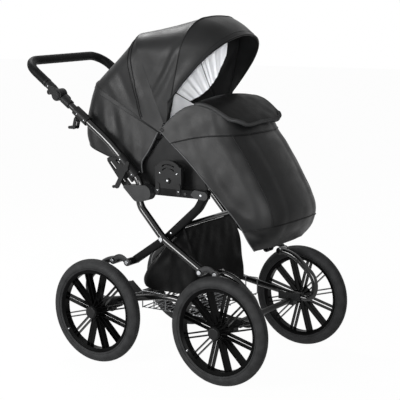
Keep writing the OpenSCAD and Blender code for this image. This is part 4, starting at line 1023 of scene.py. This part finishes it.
# Back cover: a soft tub round the back of the seat, closed below
INSIDE_COVER = (-180.0, 0.0, 800.0)
COVER_T, COVER_CORNER, COVER_CROWN, COVER_UP, COVER_FOOT = 4.0, 62.0, 4.0, 9.2, 26.0
COVER_ROWS = [((-98, -149), (-352, -64), 182.0), ((-98, -112), (-362, -24), 182.0),
              ((-66, -66), (-354, 50), 180.3)]
COVER_FOLDS = [([(-263, -182, 909), (-257, -182, 827), (-252, -182, 725)], 15, 4.0),
               ([(-204, -182, 864), (-181, -182, 797), (-175, -182, 729)], 13, 4.0),
               ([(-154, -182, 832), (-144, -182, 765), (-138, -182, 698)], 12, 3.0),
               ([(-236, -182, 880), (-222, -182, 810), (-212, -182, 735)], 14, -3.5),
               ([(-300, -176, 900), (-300, -176, 820), (-295, -176, 750)], 15, -3.0),
               ([(-110, -182, 800), (-112, -182, 750), (-118, -182, 700)], 10, -2.0),
               ([(-366, -90, 880), (-368, -80, 820), (-366, -70, 760)], 20, 3.0)]
lines = [wrap(HINGE + a, HINGE + b, half, half, COVER_CORNER, COVER_CROWN) for a, b, half in COVER_ROWS]
angle, reach, half = BOWS["rear"][:3]
brow = polar(HINGE, angle + 90, 1)
ends = [polar(brow, angle, u) for u in (COVER_FOOT, reach + COVER_UP)]
lines.append(wrap(*ends, half + COVER_UP, half + COVER_UP, COVER_CORNER, COVER_CROWN))
grid = smooth_rows(lines, 37)
grid = ripple(folds(grid, COVER_FOLDS, INSIDE_COVER), INSIDE_COVER, 1.2, 48, 4.0)
cover = cloth("back_cover_cloth", grid, COVER_T, "leatherette", INSIDE_COVER)
dress(cover, "seat", ["back_cover"])
middle = inset(grid, INSIDE_COVER, COVER_T / 2)
edges = [pipe("edge", middle[:, side], 3.0, "binding") for side in (0, -1)] + [pipe("edge", middle[0], 3.2)]
face = inset(grid, INSIDE_COVER, -0.6)
# light grey lines along the cover's sides: painted highlight on the piped edges
edges += [pipe("trim", face[:, side], 1.5, "trim") for side in (0, -1)]
cover_piping = dress(joined("back_cover_piping", edges), "seat")


def closing(line, sag, steps=25):
    """A sheet that closes the space inside a mirrored line, from one side to the other, and sags."""
    half = len(line) // 2
    rows = []
    for a, b in zip(line[:half], line[:-half - 1:-1]):
        across = np.array([mix(a, b, t) for t in np.linspace(0, 1, steps)])
        width = abs(a[1] - b[1])
        drop = sag * min(1.0, width / 200) * (1 - np.abs(np.linspace(-1, 1, steps)) ** 4)
        across[:, 2] -= drop
        rows.append(across)
    return np.array(rows)


under = closing(middle[0], 13.0)
hung_cloth("back_cover_floor", under, 2.5, "leatherette_dark", (-180, 0, 900))

inner = inset(grid, INSIDE_COVER, COVER_T + 1.5)[6:, 4:-4]
hung_cloth("back_cover_lining", inner, 1.2, "lining", (-700, 0, 1500))


# Seat sides
SIDE_EDGE = [(-138, 650), (-112, 598), (150, 598), (80, 748), (40, 780), (-30, 782), (-106, 698)]
SIDE_ROUND, SIDE_IN, SIDE_OUT, SIDE_CROWN = 14.0, 160.6, 164.4, 2.2


def seat_side(side):
    path = rounded(SIDE_EDGE + SIDE_EDGE[:2], [SIDE_ROUND] * len(SIDE_EDGE))[1:-1]
    edge = resample(at_side(np.concatenate([path, path[:1]]), 0), 81)[:-1]
    centre = edge.mean(0)
    rings = []
    for s in (1, 0.96, 0.88, 0.7, 0.45, 0.2, 0.03):
        ring = centre + (edge - centre) * s
        ring[:, 1] = side * (SIDE_OUT + SIDE_CROWN * (1 - s ** 2))
        rings.append(ring)
    grid = np.array(rings)
    back = grid * np.array([1, 0, 1]) + np.array([0, side * SIDE_IN, 0])
    obj = shell(f"seat_side_{HANDS[side]}", grid, back, "leatherette_dark")
    dress(obj, "seat", ["seat_sides"])


both(seat_side)


# Leg apron: a padded shell from the seat's sides round the front and under the toes
INSIDE_APRON = (160.0, 0.0, 640.0)
APRON_T, APRON_FOOT_HALF, APRON_CROWN = 6.0, 190.0, 10.0
APRON_ROWS = [((-15, -3), (246, 18), 0, 160, 90, 75), ((28, -41), (262, -11), 0, 166, 90, 10),
              ((101, -104), (302, -61), 2, 167, 90, 0), ((174, -180), (358, -151), 8, 167, 90, 0),
              ((215, -227), (392, -214), 15, 167, 90, 0), ((265, -289), (408, -266), 25, 166, 85, 0),
              ((300, -351), (395, -322), 38, 155, 66, 0), ((311, -384), (358, -370), 58, 123, 36, 0)]
APRON_FOLDS = [([(297, -120, 667), (323, -120, 643), (345, -120, 625), (371, -118, 608)], 12, -4.5),
               ([(308, -124, 629), (338, -122, 599), (360, -120, 581)], 11, 3.5),
               ([(257, -158, 508), (295, -156, 488), (340, -150, 473), (369, -146, 450)], 13, -4.0),
               ([(240, -160, 560), (285, -158, 535), (330, -152, 520)], 15, 3.0),
               ([(150, -172, 700), (190, -170, 640), (235, -166, 590)], 18, -3.0),
               ([(120, -176, 690), (170, -172, 620), (215, -168, 560)], 16, 2.2),
               ([(380, -60, 560), (392, 0, 548), (380, 60, 560)], 14, -2.5),
               ([(330, -70, 670), (338, 0, 662), (330, 70, 672)], 16, 2.0),
               ([(350, -90, 600), (372, -30, 590), (378, 30, 580)], 12, -2.2)]
lines = [wrap(HINGE + a, HINGE + b, APRON_FOOT_HALF - inward, half, corner, APRON_CROWN, bulge)
         for a, b, inward, half, corner, bulge in APRON_ROWS]
STEP = 11
grid = smooth_rows(lines, STEP * (len(lines) - 1) + 1)
grid = ripple(folds(grid, APRON_FOLDS, INSIDE_APRON), INSIDE_APRON, 1.6, 52, 7.0)
apron = cloth("leg_apron_cloth", grid, APRON_T, "leatherette", INSIDE_APRON)
dress(apron, "seat", ["leg_apron"])
skin = outward(grid, INSIDE_APRON)
upper = grid[:STEP + 1] + skin[:STEP + 1] * 2.4
hung_cloth("apron_upper_panel", upper, 2.2, "leatherette", INSIDE_APRON)
core = grid - skin * (APRON_T / 2)
corner_column = SIDES + TURNS // 2
toe_row = STEP * 5 + 5
trims = [pipe("edge", core[:, side], 3.9, "binding") for side in (0, -1)]
# light grey lines along the apron's sides: painted highlight on the piped edges
trims += [pipe("trim", (grid + skin)[:, side], 1.6, "trim") for side in (0, -1)]
trims += [pipe("top", core[0] + skin[0] * 1.5, 4.6, "binding", count=180),
          pipe("seam", grid[STEP] + skin[STEP] * 1.6, 2.4, count=180),
          pipe("toe", grid[toe_row] + skin[toe_row] * 0.8, 2.0, count=180)]
for column in (corner_column, grid.shape[1] - 1 - corner_column):
    stretch = slice(STEP, toe_row)
    trims.append(pipe("seam", grid[stretch, column] + skin[stretch, column], 2.4))
apron_trim = dress(joined("apron_piping", trims), "seat")
sole_grid = closing(core[-1], 6.0)
hung_cloth("apron_sole", sole_grid, 3.0, "leatherette_dark", (300, 0, 700))
STUD_AT, STUD_Y, STUD_R, STUD_CAP_R, STUD_HIGH = (-17, 806), 189.0, 7.0, 4.6, 2.4
for side in HANDS:
    stud = joined(f"apron_stud_{HANDS[side]}",
                  [boss("base", STUD_AT, STUD_Y, STUD_Y + STUD_HIGH, STUD_R, "plastic", side),
                   dome("cap", STUD_AT, STUD_Y + STUD_HIGH - 0.2, STUD_CAP_R, 2.2, "satin", side)])
    dress(stud, "seat")


# Padded flap over the apron's top edge, with a rolled ribbed binding
FLAP_ROWS = [(106, 90, 160), (135, 92, 166), (180, 79, 164), (220, 53, 157), (258, 27, 147), (274, 12, 130)]
FLAP_T, FLAP_ROUND, FLAP_CROWN, FLAP_PUFF, FLAP_STEPS, FLAP_COLUMNS = 8.0, 24.0, 14.0, 3.0, 41, 61
FLAP_AHEAD, FLAP_UP = [r[0] for r in FLAP_ROWS], [r[1] for r in FLAP_ROWS]
lines = []
for ahead, up, half in FLAP_ROWS:
    t = np.linspace(-1, 1, FLAP_COLUMNS)
    down = (ahead - FLAP_AHEAD[0]) / (FLAP_AHEAD[-1] - FLAP_AHEAD[0])
    x = ahead - FLAP_ROUND * down ** 2 * np.abs(t) ** 6
    z = np.interp(x, FLAP_AHEAD, FLAP_UP) + FLAP_CROWN * (1 - t**2)
    lines.append(np.stack([HINGE[0] + x, half * t, HINGE[1] + z], axis=1))
grid = smooth_rows(lines, FLAP_STEPS)
INSIDE_FLAP = (150.0, 0.0, 500.0)
puff = np.outer(*(np.sin(np.pi * np.linspace(0, 1, n)) for n in (FLAP_STEPS, FLAP_COLUMNS)))
grid = grid + outward(grid, INSIDE_FLAP) * (FLAP_PUFF * np.abs(puff) ** 0.4)[..., None]
grid = ripple(grid, INSIDE_FLAP, 1.2, 55, 8.0)
# the flap gets the darker copy of the leatherette: painted shade
flap = cloth("apron_flap_pad", grid, FLAP_T, "flap", INSIDE_FLAP)
dress(flap, "seat", ["apron_flap"])
centre = inset(grid, INSIDE_FLAP, FLAP_T / 2)
loop = np.concatenate([centre[:, 0], centre[-1, 1:-1], centre[::-1, -1]])
loop = resample(loop, 160)
for _ in range(10):
    loop[1:-1] = (loop[:-2] + 2 * loop[1:-1] + loop[2:]) / 4
loop = resample(loop, 960)
ROLL_R, ROLL_RIB = 6.6, 0.7
ribs = [disc(ROLL_R + ROLL_RIB * math.sin(2 * math.pi * k / 6), 12) for k in range(6)]
roll = sweep("apron_flap_binding", loop, lambda k: ribs[k % 6], "binding")
dress(roll, "seat")
dress(pipe("apron_flap_rear_edge", centre[0], 4.6, "piping", 120), "seat")


# Cushions: crowned closed forms, flat below, with sewn channels
def cushion(name, length, half, thick, channels, place):
    n = 45
    s, t = np.meshgrid(np.linspace(0, 1, n), np.linspace(0, 1, n), indexing="ij")
    x = length / 2 + (s - 0.5) * length * (1 - 0.05 * np.sin(np.pi * t))
    y = (t - 0.5) * 2 * half * (1 - 0.05 * np.sin(np.pi * s))
    z = thick * (0.45 + 0.55 * (np.abs(np.sin(np.pi * s) * np.sin(np.pi * t))) ** 0.35)
    for at in channels:
        z -= 0.16 * thick * np.exp(-(((s - at) / 0.018) ** 2)) * np.minimum(1, 6 * np.minimum(t, 1 - t))
    top = np.stack([x, y, z], axis=2)
    index = border(n, n)
    edge = top.reshape(-1, 3)[index]
    centre = np.array([length / 2, 0, 0])
    verts = [top.reshape(-1, 3)]
    for level, grow in ((0.3, 2.0), (0.12, 1.0), (0.0, -4.0)):
        ring = edge.copy()
        out = ring - centre
        out[:, 2] = 0
        out /= np.linalg.norm(out, axis=1, keepdims=True)
        ring += out * grow
        ring[:, 2] = thick * level
        verts.append(ring)
    faces = quads(n, n)
    m = len(index)
    rings = [index] + [[n * n + k * m + j for j in range(m)] for k in range(3)]
    for a, b in zip(rings, rings[1:]):
        faces += [(a[j], a[(j + 1) % m], b[(j + 1) % m], b[j]) for j in range(m)]
    faces.append(tuple(rings[-1]))
    verts = np.concatenate(verts)
    return piece(name, row(np.array([place(p) for p in verts])), faces, "cushion")


RECLINE, REST_SLOPE = (-98.0, 666.5), 160.0


def on_back(p):
    x, z = polar(polar(RECLINE, REST_SLOPE, p[0] + 10), REST_SLOPE - 90, p[2] + 4.6)
    return (x, p[1], z)


seat_cushion = cushion("seat_cushion", 222, 134, 33, (0.34, 0.67), lambda p: (p[0] - 82, p[1], p[2] + 649))
dress(seat_cushion, "seat", ["seat_pad"])
back_cushion = cushion("back_cushion", 224, 134, 29, (0.27, 0.5, 0.73), on_back)
dress(back_cushion, "backrest", ["back_pad"])


# Small fittings on the frame: rivets on the sleeves, bolts on the plates
FITTINGS = [("outer_frame", [(polar(LOCK_HIGH, BACK_SLOPE, u), 225.8, 2.5) for u in (42, 110)]
                           + [(polar(UPPER_BEND, HANDLE_SLOPE, u), 225.8, 2.3) for u in (130, 166)]),
            ("telescope", [(polar(UPPER_BEND, HANDLE_SLOPE, 232), 222.4, 2.4)]),
            ("handle", [(polar(KNUCKLE, ARM, SLEEVE[0] + 22), OUTER_Y + SLEEVE_R - 0.3, 3.0)]),
            ("rails", [((-24, 609), 213.5, 2.7), ((60, 609), 213.5, 2.7), ((-16, 667), 210.5, 2.6),
                       ((52, 667), 210.5, 2.6), ((18, 643.5), 215.5, 4.2), ((148, 604), 214.5, 4.8)])]
for body, spots in FITTINGS:
    heads = [dome("head", at, y, r, 0.55 * r, "steel", side) for at, y, r in spots for side in HANDS]
    dress(joined(f"rivets_{body}", heads), body)
